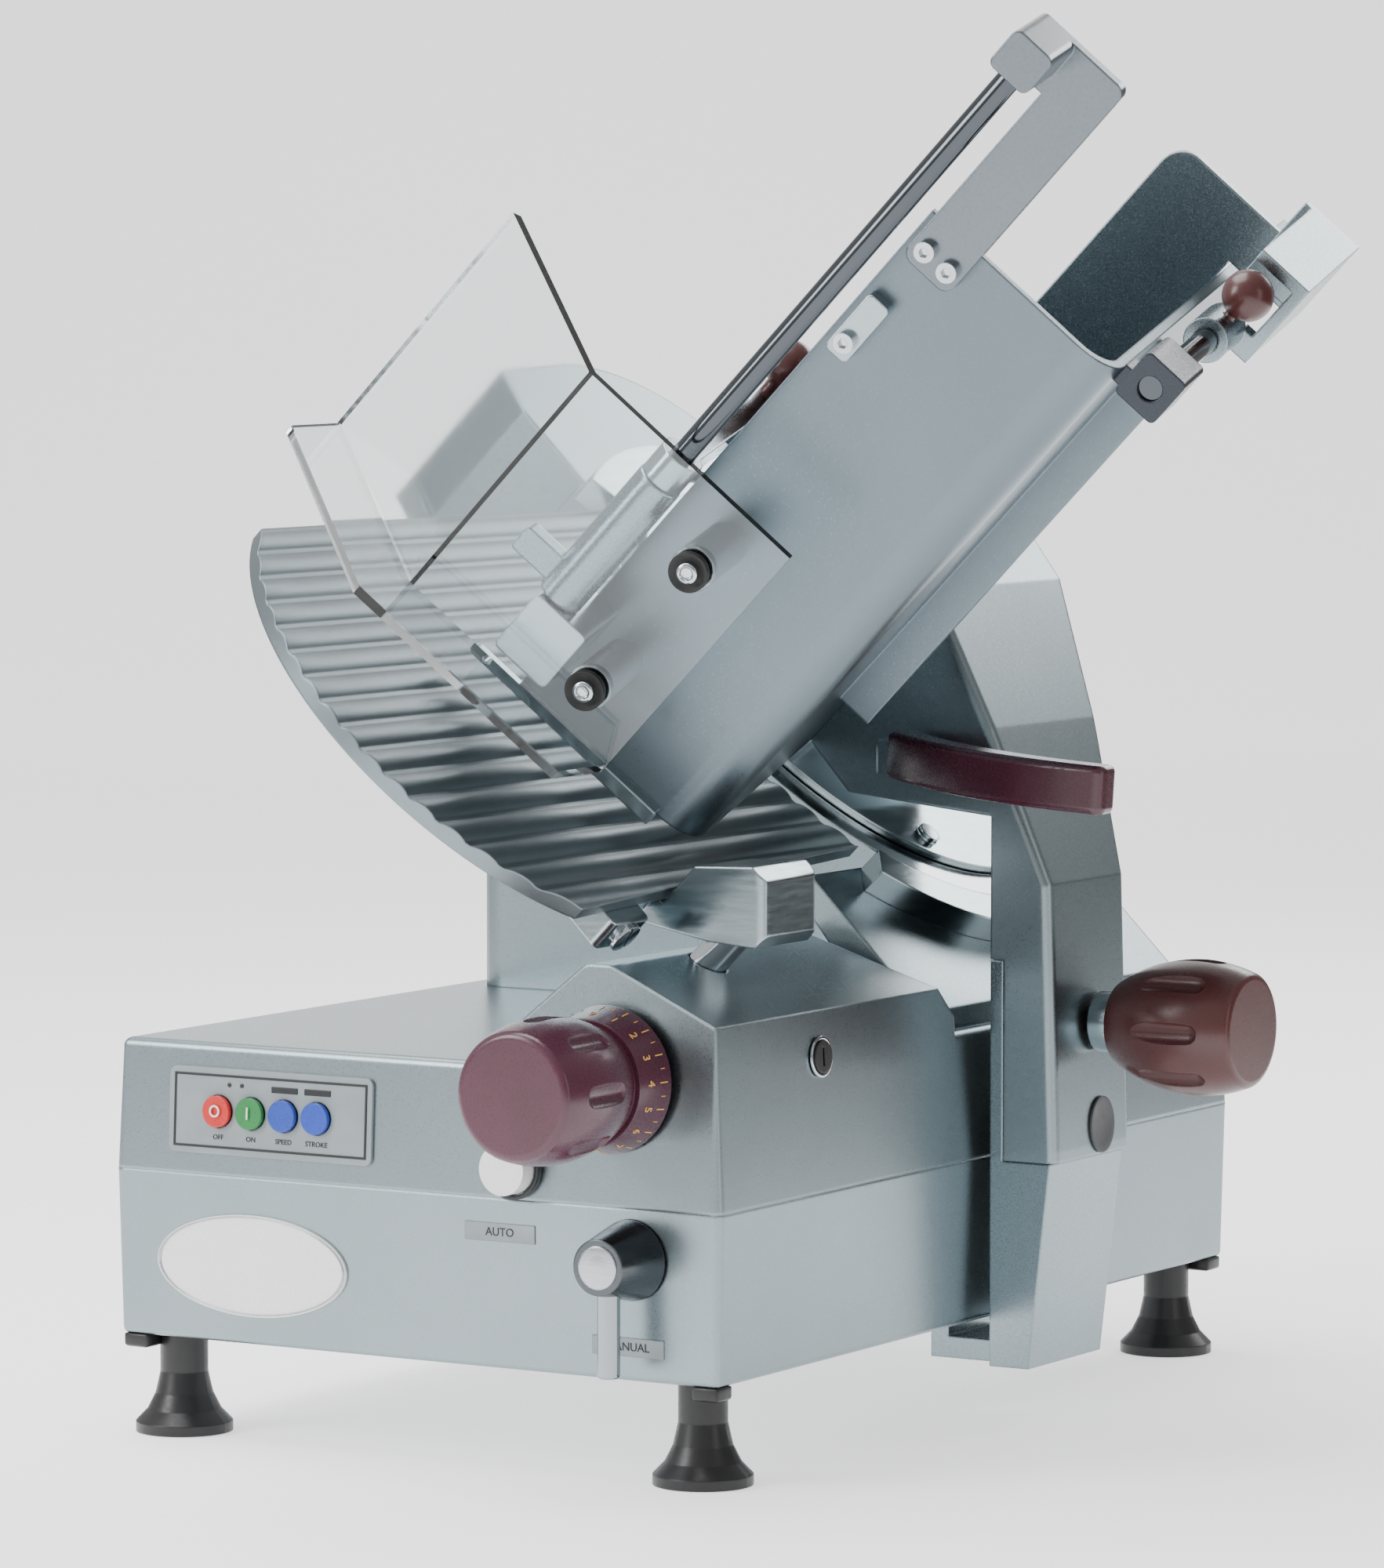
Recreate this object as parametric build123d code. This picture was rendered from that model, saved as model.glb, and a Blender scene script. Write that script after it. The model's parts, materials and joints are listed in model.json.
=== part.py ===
from build123d import *
from math import cos, radians, sin, sqrt
import os

# Gravity-feed deli slicer with an automatic carriage.  Millimetres, +X to the operator's right,
# +Y away from the operator, +Z up.  The origin is on the bench under the middle of the base.

# ---- overall sizes ----
base_width = 350.0
base_depth = 530.0
foot_height = 50.0
lower_height = 83.0
upper_height = 65.0
shell_wall = 4.0
draft_angle = 3.0
running_gap = 0.05
free_gap = 0.4

# ---- base features ----
foot_base_radius = 24.3
foot_stem_radius = 12.0
foot_inset_x = 24.0
foot_inset_y = 25.0
plate_thickness = 2.0
hump_left_x = 36.0
hump_top_z = 50.0
hump_right_drop = 29.0
hump_length = 234.0
panel_width = 120.0
panel_height = 42.7
panel_thickness = 1.6
panel_centre_x = -81.5
button_radius = 7.8
button_travel = 2.0
badge_width = 112.0
badge_height = 50.5
badge_centre_x = -92.8
switch_x = 60.5
switch_radius = 12.5
lock_radius = 8.0

# ---- blade and head, in the blade's own frame (u back, v up the blade, w towards the tray) ----
blade_radius = 150.0
blade_from_right = 143.0
blade_above_deck = 162.0
blade_from_front = 367.0
blade_tilt = 45.0
blade_front_w = 2.0
blade_back_w = -2.5
bevel_width = 14.0
ring_gap = 3.0
ring_width = 19.0
ring_front_w = 4.0
head_front_w = -11.0
head_wall = 5.0
head_u_front = -68.0
head_u_back = 113.0
head_top_v = 160.0
skirt_u_front = -155.0
skirt_v = -109.0
shaft_radius = 12.0
bearing_radius = 24.0
bearing_width = 12.0
blade_pulley_radius = 45.0
motor_pulley_radius = 15.0
belt_thickness = 3.0
belt_width = 14.0
motor_u = 20.0
motor_v = -83.0
motor_radius = 46.0
motor_length = 100.0
hood_wall = 3.0
hood_top_v = 245.0
hood_depth = 96.0
stone_radius = 20.0

# ---- gauge plate and thickness control ----
rib_count = 16
rib_height = 1.9
gauge_travel = 15.0
gauge_shaft_radius = 9.0
gauge_shaft_u = -288.2
gauge_shaft_v = -145.6
knob_from_right = 61.0
knob_z = 194.3
knob_radius = 35.0
knob_length = 85.0
dial_radius = 35.5
cam_small_radius = 13.0
cam_turn = 330.0
follower_radius = 4.0

# ---- mode lever ----
lever_from_right = 49.0
lever_z = 108.5
lever_hub_radius = 19.5
lever_nose_radius = 13.5
lever_hub_length = 29.0
lever_bar_radius = 5.5
lever_bar_length = 50.0

# ---- carriage ----
carriage_y = 27.5
carriage_forward = 90.0
carriage_back = 170.0
rod_from_right = 47.0
rod_z = 78.0
rod_radius = 10.0
slider_length = 60.0
foot_gap = 6.0
foot_casting_depth = 77.0
arm_bottom_z = 132.0
tray_near_w = 17.0
tray_length = 322.5
tray_wall_b = -312.4
tray_floor_c = -11.0
tray_wall_top_c = 103.0
tray_back_b = 33.0
tray_thickness = 5.0
tray_corner = 22.0
lip_width = 8.0
lip_top_c = 132.0
guide_rod_radius = 5.75
guide_rod_b = -346.0
guide_rod_c = 113.0
sleeve_radius = 11.5
sleeve_length = 80.0
bracket_thickness = 8.0
guard_thickness = 5.0
guard_near_a = 38.0
guard_far_a = 185.0
guard_low_c = 42.0
guard_bend_c = 170.0
guard_front_b = -366.0
guard_flange = 43.0
standoff_radius = 11.0
screw_radius = 5.0
fence_b = -87.4
fence_thickness = 4.0
fence_top_c = 53.0
fence_rod_radius = 6.0
fence_rod_a = 352.0
fence_rod_c = -28.0
lock_knob_radius = 34.0
lock_knob_length = 74.0
handle_height = 24.0

# ---- carriage drive ----
stroke_pulley_radius = 18.0
stroke_pulley_inset = 53.0
stroke_belt_thickness = 2.0
stroke_belt_width = 10.0
stroke_belt_from_right = 80.0


# ---- derived places ----
front_y = -base_depth / 2
back_y = base_depth / 2
right_x = base_width / 2
stroke_pulley_y = back_y - stroke_pulley_inset
stroke_belt_x = right_x - stroke_belt_from_right
rod_x = right_x - rod_from_right
knob_x = right_x - knob_from_right
lever_x = right_x - lever_from_right
parting_z = foot_height + lower_height
deck_z = parting_z + upper_height
drive = 1 / sqrt(2)
blade_x = right_x - blade_from_right
blade_y = front_y + blade_from_front
blade_z = deck_z + blade_above_deck
blade_centre = Vector(blade_x, blade_y, blade_z)
feed = Vector(sin(radians(blade_tilt)), 0, cos(radians(blade_tilt)))
head = Plane(origin=blade_centre, x_dir=(0, 1, 0), z_dir=feed)
tray_roll = 17.0
roll = radians(tray_roll)
wall_up = head.y_dir * cos(roll) - head.x_dir * sin(roll)
tray_frame = Plane(origin=blade_centre, x_dir=feed, z_dir=wall_up)
carriage_front_y = carriage_y - foot_casting_depth / 2
carriage_back_y = carriage_y + foot_casting_depth / 2
foot_x = right_x + foot_gap


from_base = (Align.CENTER, Align.CENTER, Align.MIN)


def box(x0, x1, y0, y1, z0, z1):
    return Pos((x0 + x1) / 2, (y0 + y1) / 2, (z0 + z1) / 2) * Box(x1 - x0, y1 - y0, z1 - z0)


def rod(start, direction, radius, length):
    seat = Plane(origin=start, z_dir=direction)
    return seat.location * Cylinder(radius, length, align=from_base)


def cone(start, direction, radius_start, radius_end, length):
    seat = Plane(origin=start, z_dir=direction)
    return seat.location * Cone(radius_start, radius_end, length, align=from_base)


def tube(start, direction, outer, inner, length):
    return rod(start, direction, outer, length) - rod(start, direction, inner, length)


def face_of(points):
    return make_face(Polyline(*points, close=True))


def side_prism(points, y0, y1):
    """Outline in X and Z, drawn out along Y from y0 to y1."""
    seat = Plane(origin=(0, y0, 0), x_dir=(1, 0, 0), z_dir=(0, -1, 0))
    return extrude(seat * face_of(points), amount=y0 - y1)


def end_prism(points, x0, x1):
    """Outline in Y and Z, drawn out along X from x0 to x1."""
    seat = Plane(origin=(x0, 0, 0), x_dir=(0, 1, 0), z_dir=(1, 0, 0))
    return extrude(seat * face_of(points), amount=x1 - x0)


def head_xz(w, v):
    return (blade_x + (w - v) * drive, blade_z + (w + v) * drive)


def in_head(part):
    return head.location * part


def in_tray(part):
    return tray_frame.location * part


# ---------------------------------------------------------------- base shells
def drafted_block(z_low, height, inset, angle):
    width = base_width - 2 * inset
    depth = base_depth - 2 * inset
    outline = Pos(0, 0, z_low) * RectangleRounded(width, depth, 5.0)
    return extrude(outline, amount=height, taper=angle)


def lower_body(inset):
    block = drafted_block(0, lower_height, inset, draft_angle / 2)
    return Pos(0, 0, parting_z) * Rot(X=180) * block


def hump_prism(inset):
    top = deck_z + hump_top_z - inset * 1.1
    left = hump_left_x + inset * 1.6
    foot = parting_z - 2
    outline = [(left - 60, foot), (left, deck_z), (right_x - 78, top), (right_x - 64, top),
               (right_x, top - hump_right_drop), (right_x + 8, top - hump_right_drop - 4),
               (right_x + 8, foot)]
    rear = front_y + hump_length - inset
    prism = side_prism(outline, front_y - 20, rear)
    slope = Pos(0, rear, deck_z + 8) * Rot(X=45) * box(-400, 400, 0, 200, -200, 200)
    return prism - slope


def upper_body(inset):
    deck = deck_z - inset
    tall = drafted_block(parting_z, 140, inset, draft_angle)
    low_part = box(-right_x, right_x, front_y, back_y, parting_z, deck)
    profile = low_part + hump_prism(inset)
    return tall & profile


def rounded_upper():
    body = upper_body(0)
    ridges = [e for e in body.edges().filter_by(Axis.Y) if e.center().Z > deck_z + hump_top_z - 4]
    body = fillet(ridges, 7)
    rim = [e for e in body.edges() if abs(e.center().Z - deck_z) < 0.3 and e.length > 100
           and (abs(e.center().X) > right_x - 6 or abs(e.center().Y) > back_y - 6)]
    return fillet(rim, 4)


def motor_well():
    return box(blade_x - 165, blade_x + 60, blade_y - 56, blade_y + 101, deck_z - 10, deck_z + 10)


def rounded_lower():
    body = lower_body(0)
    return fillet([e for e in body.edges() if e.center().Z < foot_height + 1], 3)


def lower_shell():
    open_bottom = box(-160, 160, -250, 250, foot_height - 1, foot_height + 10)
    shell = rounded_lower() - (lower_body(shell_wall) + open_bottom)
    shell = shell - lower_body(shell_wall)
    ends = [box(rod_x - 16, rod_x + 16, y0, y1, rod_z - 16, rod_z + 16)
            for y0, y1 in ((front_y + shell_wall - 2, front_y + 18), (back_y - 18, back_y - shell_wall + 2))]
    for end in ends:
        shell = shell + (end & lower_body(0))
    shell = shell - rod((rod_x, front_y + 10, rod_z), (0, 1, 0), rod_radius + running_gap, base_depth - 20)
    return shell - rod((lever_x, front_y - 5, lever_z), (0, 1, 0), 6 + free_gap, 20)


def gauge_line(distance):
    """Point on the gauge shaft, measured from where it passes the knob's axis."""
    along = head.from_local_coords(Vector(gauge_shaft_u, gauge_shaft_v, 0))
    reach = (Vector(knob_x, 0, knob_z) - Vector(along.X, 0, along.Z)).dot(feed)
    return along + feed * (reach + distance)


def upper_shell():
    solid = rounded_upper()
    boss = rod(gauge_line(2), feed, 19, 60) & solid
    shell = solid - upper_body(shell_wall) - box(-160, 160, -250, 250, parting_z - 1, parting_z + 1)
    shell = shell + boss
    shell = shell - rod(gauge_line(0), feed, 14 + running_gap, 28)
    shell = shell - rod(gauge_line(0), feed, gauge_shaft_radius + free_gap, 80)
    shell = shell - rod((knob_x, front_y - 10, knob_z), (0, 1, 0), 7 + free_gap, 40)
    shell = shell - rod((switch_x, front_y - 10, switch_z()), (0, 1, 0), 5 + free_gap, 30)
    shell = shell - motor_well()
    for x in button_places():
        shell = shell - panel_rod(x, 0, -20, button_radius - 1.5 + free_gap, 30)
    return shell


def switch_z():
    return parting_z + switch_radius + 3


def bottom_plate():
    low = foot_height
    plate = box(-160 + 0.5, 160 - 0.5, -250 + 0.5, 250 - 0.5, low, low + plate_thickness)
    slot_front = carriage_y - carriage_forward - 30
    slot_back = carriage_y + carriage_back + 30
    plate = plate - box(rod_x + 8, rod_x + 26, slot_front, slot_back, low - 1, low + 4)
    idler_ear = box(stroke_belt_x + 8, stroke_belt_x + 11, -stroke_pulley_y - 12, -stroke_pulley_y + 12,
                    low + plate_thickness, rod_z + 12)
    idler_ear = idler_ear - rod((stroke_belt_x, -stroke_pulley_y, rod_z), (1, 0, 0), 4 + running_gap, 20)
    return plate + idler_ear


def feet():
    profile = face_of([(0, 0), (foot_base_radius, 0), (foot_base_radius, 5), (18.5, 11), (14.5, 19),
                       (foot_stem_radius, 30), (foot_stem_radius, foot_height), (0, foot_height)])
    seat = Plane(origin=(0, 0, 0), x_dir=(1, 0, 0), z_dir=(0, -1, 0))
    foot = revolve(seat * profile, axis=Axis.Z)
    x = right_x - foot_inset_x
    y = back_y - foot_inset_y
    return [Pos(sx * x, sy * y, 0) * foot for sx in (-1, 1) for sy in (-1, 1)]


# ---------------------------------------------------------------- front panel
front_slope = radians(draft_angle)
panel_out = (0, -cos(front_slope), sin(front_slope))
panel_seat = Plane(origin=(0, front_y, parting_z), x_dir=(1, 0, 0), z_dir=panel_out)
panel_up = 31.7


def button_places():
    return [panel_centre_x - 30.3 + 19.4 * i for i in range(4)]


def panel_rod(x, up, out, radius, length):
    start = panel_seat.from_local_coords(Vector(x, panel_up + up, out))
    return rod(start, panel_seat.z_dir, radius, length)


def control_panel():
    outline = Pos(panel_centre_x, panel_up) * RectangleRounded(panel_width, panel_height, 4)
    panel = panel_seat * extrude(outline, amount=panel_thickness)
    for x in button_places():
        panel = panel - panel_rod(x, 0, -5, button_radius + free_gap, 20)
    return panel


def button(x):
    cap = panel_rod(x, 0, 0.3 + button_travel, button_radius, panel_thickness + 0.7)
    stem = panel_rod(x, 0, -8, button_radius - 1.5, 8.3 + button_travel)
    return cap + stem


def badge_plate():
    seat = Plane(origin=(0, front_y, parting_z), x_dir=(1, 0, 0),
                 z_dir=(0, -cos(radians(draft_angle / 2)), -sin(radians(draft_angle / 2))))
    oval = Pos(badge_centre_x, -43.6) * Ellipse(badge_width / 2, badge_height / 2)
    return seat * extrude(oval, amount=1.5)


def side_lock():
    slope = radians(draft_angle)
    seat = Plane(origin=(right_x, 0, parting_z), x_dir=(0, 1, 0), z_dir=(cos(slope), 0, sin(slope)))
    disc = Pos(front_y + 99.7, 65.8) * Circle(lock_radius)
    groove = Pos(front_y + 99.7, 65.8, 1.5) * Box(2, 9, 3)
    return seat * (extrude(disc, amount=2.5) - groove)


def control_board():
    x0 = panel_centre_x - panel_width / 2 + 4
    x1 = x0 + panel_width - 8
    y0 = front_y + 22
    board = box(x0, x1, y0, y0 + 1.6, parting_z + 6, deck_z - 8)
    relays = [box(x0 + 12 + 24 * i, x0 + 28 + 24 * i, y0 + 1.6, y0 + 14, parting_z + 12, parting_z + 24)
              for i in range(4)]
    for relay in relays:
        board = board + relay
    return board


def switch_knob():
    y = front_y
    disc = rod((switch_x, y - 12, switch_z()), (0, 1, 0), switch_radius, 11)
    stem = rod((switch_x, y - 1, switch_z()), (0, 1, 0), 5, 14)
    return disc + stem


# ---------------------------------------------------------------- thickness control
def knob_axis(y):
    return (knob_x, y, knob_z)


def fluted_grip(near, middle, far, length, flute_length):
    """Barrel-shaped grip along +Z with rounded ends and eight long flutes."""
    side = ThreePointArc((near, 0), (middle, length * 0.52), (far, length))
    end = Line((far, length), (0, length))
    outline = make_face([Line((0, 0), (near, 0)), side, end, Line((0, length), (0, 0))])
    seat = Plane(origin=(0, 0, 0), x_dir=(1, 0, 0), z_dir=(0, -1, 0))
    body = revolve(seat * outline, axis=Axis.Z)
    body = fillet(body.edges().filter_by(GeomType.CIRCLE), 4)
    half = flute_length / 2
    flute = Cylinder(6.5, flute_length) + Pos(0, 0, half) * Sphere(6.5) + Pos(0, 0, -half) * Sphere(6.5)
    for i in range(8):
        body = body - Rot(Z=45 * i) * Pos(middle + 3.2, 0, length * 0.5) * flute
    return body


def thickness_knob():
    back = front_y - 1.5
    dial = cone(knob_axis(back - 21), (0, 1, 0), dial_radius - 4.5, dial_radius, 21)
    neck = rod(knob_axis(back - 24), (0, 1, 0), 28, 4)
    grip = fluted_grip(29, knob_radius, 30, knob_length - 23, 24)
    seat = Plane(origin=knob_axis(back - 23), z_dir=(0, -1, 0))
    return seat.location * grip + neck + dial


def cam_radius(angle):
    return cam_small_radius + gauge_travel * angle / cam_turn


def cam_outline():
    """Snail cam whose radius grows by the gauge travel; seen from the front."""
    points = []
    for i in range(12):
        angle = -15 + (cam_turn + 20) * i / 11
        direction = radians(180 + blade_tilt - angle)
        points.append((cam_radius(angle) * cos(direction), cam_radius(angle) * sin(direction)))
    return make_face([Spline(*points), Line(points[-1], points[0])])


def thickness_cam():
    y = blade_y + gauge_shaft_u
    seat = Plane(origin=(knob_x, y - 21, knob_z), x_dir=(1, 0, 0), z_dir=(0, -1, 0))
    disc = extrude(seat * cam_outline(), amount=8)
    shaft = rod(knob_axis(front_y - 1.5), (0, 1, 0), 7, y - 21 - front_y + 1.5)
    return disc + shaft


def gauge_bush():
    flange = tube(gauge_line(-1), feed, 17, gauge_shaft_radius + running_gap, 3 - 0.05)
    body = tube(gauge_line(1), feed, 14, gauge_shaft_radius + running_gap, 26)
    return flange + body


def gauge_shaft():
    shaft = rod(gauge_line(-70), feed, gauge_shaft_radius, 154)
    follow = -(cam_small_radius + follower_radius + 0.4)
    collar = rod(gauge_line(follow - 7), feed, 14, 12)
    pin_at = Vector(knob_x, blade_y + gauge_shaft_u, knob_z) + feed * follow
    arm_middle = (gauge_line(follow) + pin_at) * 0.5
    finger = Plane(origin=arm_middle, x_dir=(0, 1, 0), z_dir=feed).location * Box(12, 40, 8)
    pin = rod(pin_at - Vector(0, 31, 0), (0, 1, 0), follower_radius, 31)
    return shaft + collar + finger + pin


def plate_outline():
    """Front edge, top edge, hollow round the blade and bottom edge of the gauge plate."""
    notch = blade_radius + ring_gap + 2
    top_u = -sqrt(notch ** 2 - 132 ** 2)
    low_u = -sqrt(notch ** 2 - 104 ** 2)
    edges = [ThreePointArc((-391, -117), (-465, 10), (-401, 132)),
             Line((-401, 132), (top_u, 132)),
             ThreePointArc((top_u, 132), (-notch, 0), (low_u, -104)),
             Line((low_u, -104), (-391, -117))]
    return make_face(edges)


def gauge_plate():
    plate = extrude(Pos(0, 0, -7) * plate_outline(), amount=7)
    pitch = 249.0 / rib_count
    half = pitch / 2 - 1.2
    radius = (half ** 2 + rib_height ** 2) / (2 * rib_height)
    face = extrude(Pos(0, 0, -2) * plate_outline(), amount=6)
    for i in range(rib_count):
        v = -117 + pitch * (i + 0.5)
        rib = Pos(-300, v, rib_height - radius) * Rot(Y=90) * Cylinder(radius, 420)
        plate = plate + (rib & face & Pos(-300, v, 1.4) * Box(420, pitch, 3.4))
    return in_head(plate)


def gauge_arm():
    y = blade_y + gauge_shaft_u
    outline = [(knob_x + 46, deck_z + 56), (knob_x + 52, deck_z + 62), (knob_x + 52, deck_z + 88),
               (knob_x + 45, deck_z + 95), (knob_x + 13, deck_z + 94), (knob_x - 5, deck_z + 75.5),
               (knob_x - 18, deck_z + 86.4), (knob_x - 30, deck_z + 74), (knob_x - 18, deck_z + 66),
               (knob_x + 21, deck_z + 58)]
    block = side_prism(outline, y - 21.8, y + 29.2)
    block = fillet(block.edges().sort_by(Axis.X)[-3:], 5)
    tongue = Pos(gauge_shaft_u - 20, -97, -12.1) * Box(80, 26, 9.8)
    carrier = Pos(gauge_shaft_u - 58, -111, -15.6) * Box(32, 26, 16.8)
    carrier = fillet(carrier.edges().filter_by(Axis.Z), 4)
    arm = block + in_head(tongue + carrier)
    return arm - rod(gauge_line(-40), feed, gauge_shaft_radius + 0.02, 124.1)


# ---------------------------------------------------------------- mode lever
def lever_hub():
    y = front_y - 1.0
    body = cone((lever_x, y - lever_hub_length, lever_z), (0, 1, 0), lever_nose_radius, lever_hub_radius,
                lever_hub_length)
    shaft = rod((lever_x, y, lever_z), (0, 1, 0), 6, 26)
    crank = box(lever_x - 7, lever_x + 7, y + 12, y + 18, lever_z - 7, lever_z + 22)
    socket = rod(lever_root(), (0, 0, -1), lever_bar_radius + 0.02, 40)
    return body + shaft + crank - socket


def lever_root():
    return (lever_x, front_y - 1.0 - 19, lever_z - 6)


def lever_bar():
    bar = rod(lever_root(), (0, 0, -1), lever_bar_radius, lever_bar_length - 2)
    return fillet(bar.edges().sort_by(Axis.Z)[0], 1.5)


# ---------------------------------------------------------------- head
def head_outline(grow):
    left = -right_x + 20 + grow
    top = head_top_v - grow
    w_front = head_front_w - grow
    corner_w = (left - blade_x) * 2 * drive + top
    x_right = right_x - 8 - grow
    z_right = (blade_x + blade_z + w_front * 2 * drive) - x_right
    return [(left, deck_z), (left, head_xz(corner_w, top)[1]), head_xz(w_front, top),
            (x_right, z_right), (x_right, deck_z)]


def hump_relief():
    rear = front_y + hump_length + 0.6
    top = deck_z + 8
    outline = [(rear - 60, top - 30), (rear - 60, top + 60), (rear + 9, top - 9), (rear + 9, top - 30)]
    return end_prism(outline, 0, right_x)


def head_casting():
    y0 = blade_y + head_u_front
    y1 = blade_y + head_u_back
    outer = side_prism(head_outline(0), y0, y1)
    tall = outer.edges().filter_by(Axis.Z).sort_by(Axis.X)[:2]
    outer = fillet(tall, 16)
    inner = side_prism(head_outline(head_wall), y0 + head_wall, y1 - head_wall)
    skirt_points = [head_xz(head_front_w, skirt_v), head_xz(head_front_w - 13, skirt_v),
                    (right_x - 28, deck_z),
                    (right_x - 8, deck_z), (right_x - 8, head_outline(0)[3][1])]
    skirt = side_prism(skirt_points, blade_y + skirt_u_front, y0 + 1) - hump_relief()
    seat_ring = in_head(Pos(0, 0, -66) * Cylinder(bearing_radius + 9, 54, align=from_base))
    motor_wall = in_head(Pos(22, -90, -106) * Box(176, 130, 5)) & outer
    casting = outer - inner + skirt + seat_ring + motor_wall
    bore = in_head(Pos(0, 0, -70) * Cylinder(bearing_radius + running_gap, 62, align=from_base))
    shaft_way = in_head(Pos(motor_u, motor_v, -112) * Cylinder(9, 20))
    seat_relief = box(-right_x + 22, right_x - 10, y0 + 7, y1 - 7, deck_z - 1, deck_z + 0.5)
    return casting - bore - shaft_way - seat_relief


def ring_guard():
    inner = blade_radius + ring_gap
    outer = inner + ring_width
    start = -134.0
    sweep = 253.0
    points = []
    for radius in (outer, inner):
        points.append([(radius * cos(radians(start + sweep * f)), radius * sin(radians(start + sweep * f)))
                       for f in (0, 0.5, 1)])
    edges = [ThreePointArc(*points[0]), Line(points[0][2], points[1][2]),
             ThreePointArc(*points[1]), Line(points[1][0], points[0][0])]
    ring = extrude(Pos(0, 0, head_front_w) * make_face(edges), amount=ring_front_w - head_front_w)
    return in_head(ring)


def blade_cover():
    low = blade_front_w + 0.6
    disc = Pos(0, 0, low) * Cylinder(blade_radius - bevel_width - 1, 4, align=from_base)
    for angle in (-45, 20, 70):
        tab = Rot(Z=angle) * Pos(144, 0, ring_front_w + 1.3) * Box(40, 18, 2.6)
        disc = disc + tab
    for angle in (-118, -5, 110):
        spot = Rot(Z=angle) * Pos(122, 0, low + 3)
        disc = disc + spot * Cylinder(6, 4.2, align=from_base)
    tie = Pos(0, 0, -108) * Cylinder(4, 108 + low + 1, align=from_base)
    return in_head(disc + tie)


def blade():
    edge = blade_radius
    root = blade_radius - bevel_width
    points = [(22.0, blade_back_w), (root + 4, blade_back_w), (edge, 0.3), (edge, 0.6), (root, blade_front_w),
              (22.0, blade_front_w)]
    seat = Plane(origin=(0, 0, 0), x_dir=(1, 0, 0), z_dir=(0, -1, 0))
    return in_head(revolve(seat * face_of(points), axis=Axis.Z))


def blade_hub():
    flange = Pos(0, 0, -10) * Cylinder(40, 10 + blade_back_w, align=from_base)
    spigot = Pos(0, 0, -10) * Cylinder(21.98, 10 + blade_front_w, align=from_base)
    shaft = Pos(0, 0, -104) * Cylinder(shaft_radius, 96, align=from_base)
    bore = Pos(0, 0, -110) * Cylinder(4.5, 130, align=from_base)
    return in_head(flange + spigot + shaft - bore)


def blade_bearings():
    ring = Cylinder(bearing_radius, bearing_width) - Cylinder(shaft_radius + running_gap, bearing_width + 2)
    return [in_head(Pos(0, 0, w) * ring) for w in (-22, -58)]


def grooved_pulley(radius, bore, width):
    wheel = Cylinder(radius, width)
    for i in range(4):
        z = -width / 2 + 4 + 3.6 * i
        wheel = wheel - Pos(0, 0, z) * (Cylinder(radius + 1, 1.2) - Cylinder(radius - 1.5, 2))
    return wheel - Cylinder(bore, width + 2)


def blade_pulley():
    return in_head(Pos(0, 0, -90) * grooved_pulley(blade_pulley_radius, shaft_radius + 0.02, 19))


def motor_pulley():
    wheel = grooved_pulley(motor_pulley_radius, 5, 19) + Pos(0, 0, -17) * Cylinder(5, 54)
    return in_head(Pos(motor_u, motor_v, -90) * wheel)


def loop_band(centre_a, radius_a, centre_b, radius_b):
    """Filled outline of a belt pulled tight round two discs."""
    discs = [Pos(*centre_a) * Circle(radius_a), Pos(*centre_b) * Circle(radius_b)]
    return make_hull(discs[0].edges() + discs[1].edges())


def blade_belt():
    gap = 0.35
    inner = loop_band((0, 0), blade_pulley_radius + gap, (motor_u, motor_v), motor_pulley_radius + gap)
    grow = gap + belt_thickness
    outer = loop_band((0, 0), blade_pulley_radius + grow, (motor_u, motor_v), motor_pulley_radius + grow)
    return in_head(Pos(0, 0, -90 - belt_width / 2) * extrude(outer - inner, amount=belt_width))


def blade_motor():
    body = Pos(motor_u, motor_v, -108.5 - motor_length) * Cylinder(
        motor_radius, motor_length, align=from_base)
    for i in range(12):
        fin = Pos(motor_u, motor_v, -158) * Rot(Z=30 * i) * Pos(motor_radius + 1, 0, 0) * Box(6, 3, 80)
        body = body + fin
    shaft_hole = Pos(motor_u, motor_v, -135) * Cylinder(5 + running_gap, 60)
    return in_head(body - shaft_hole)


# ---------------------------------------------------------------- sharpener
def hood_outline(inset):
    low = head_top_v
    return make_face([
        Line((-60 + inset, low), (-60 + inset, 212)),
        Line((-60 + inset, 212), (-48 + inset * 0.7, hood_top_v - 3 - inset)),
        Line((-48 + inset * 0.7, hood_top_v - 3 - inset), (17, hood_top_v - inset)),
        ThreePointArc((17, hood_top_v - inset), (68 - inset * 0.3, 232 - inset), (108 - inset, 190)),
        Line((108 - inset, 190), (108 - inset, low)), Line((108 - inset, low), (-60 + inset, low))])


def sharpener_cover():
    front = head_front_w - 0.5
    outer = extrude(Pos(0, 0, front - hood_depth) * hood_outline(0), amount=hood_depth)
    clear_depth = hood_depth - 2 * hood_wall
    inner = extrude(Pos(0, 0, front - hood_depth + hood_wall) * hood_outline(hood_wall), amount=clear_depth)
    shell = outer - inner - Pos(24, head_top_v, front - hood_depth / 2) * Box(162, 4, clear_depth)
    shell = shell + Pos(-30, 225, front - hood_depth / 2) * Box(10, 28, hood_depth - 2)
    lifted = Pos(0, 0.5, 0) * shell
    for u in stone_places():
        boss = Pos(u, 196, front - hood_depth + hood_wall - 0.5) * Cylinder(
            4, 56, align=from_base)
        lifted = lifted + boss
    return in_head(lifted & Pos(20, 210, front - hood_depth / 2) * Box(200, 110, hood_depth + 2))


def stone_places():
    return (2, 58)


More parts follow.
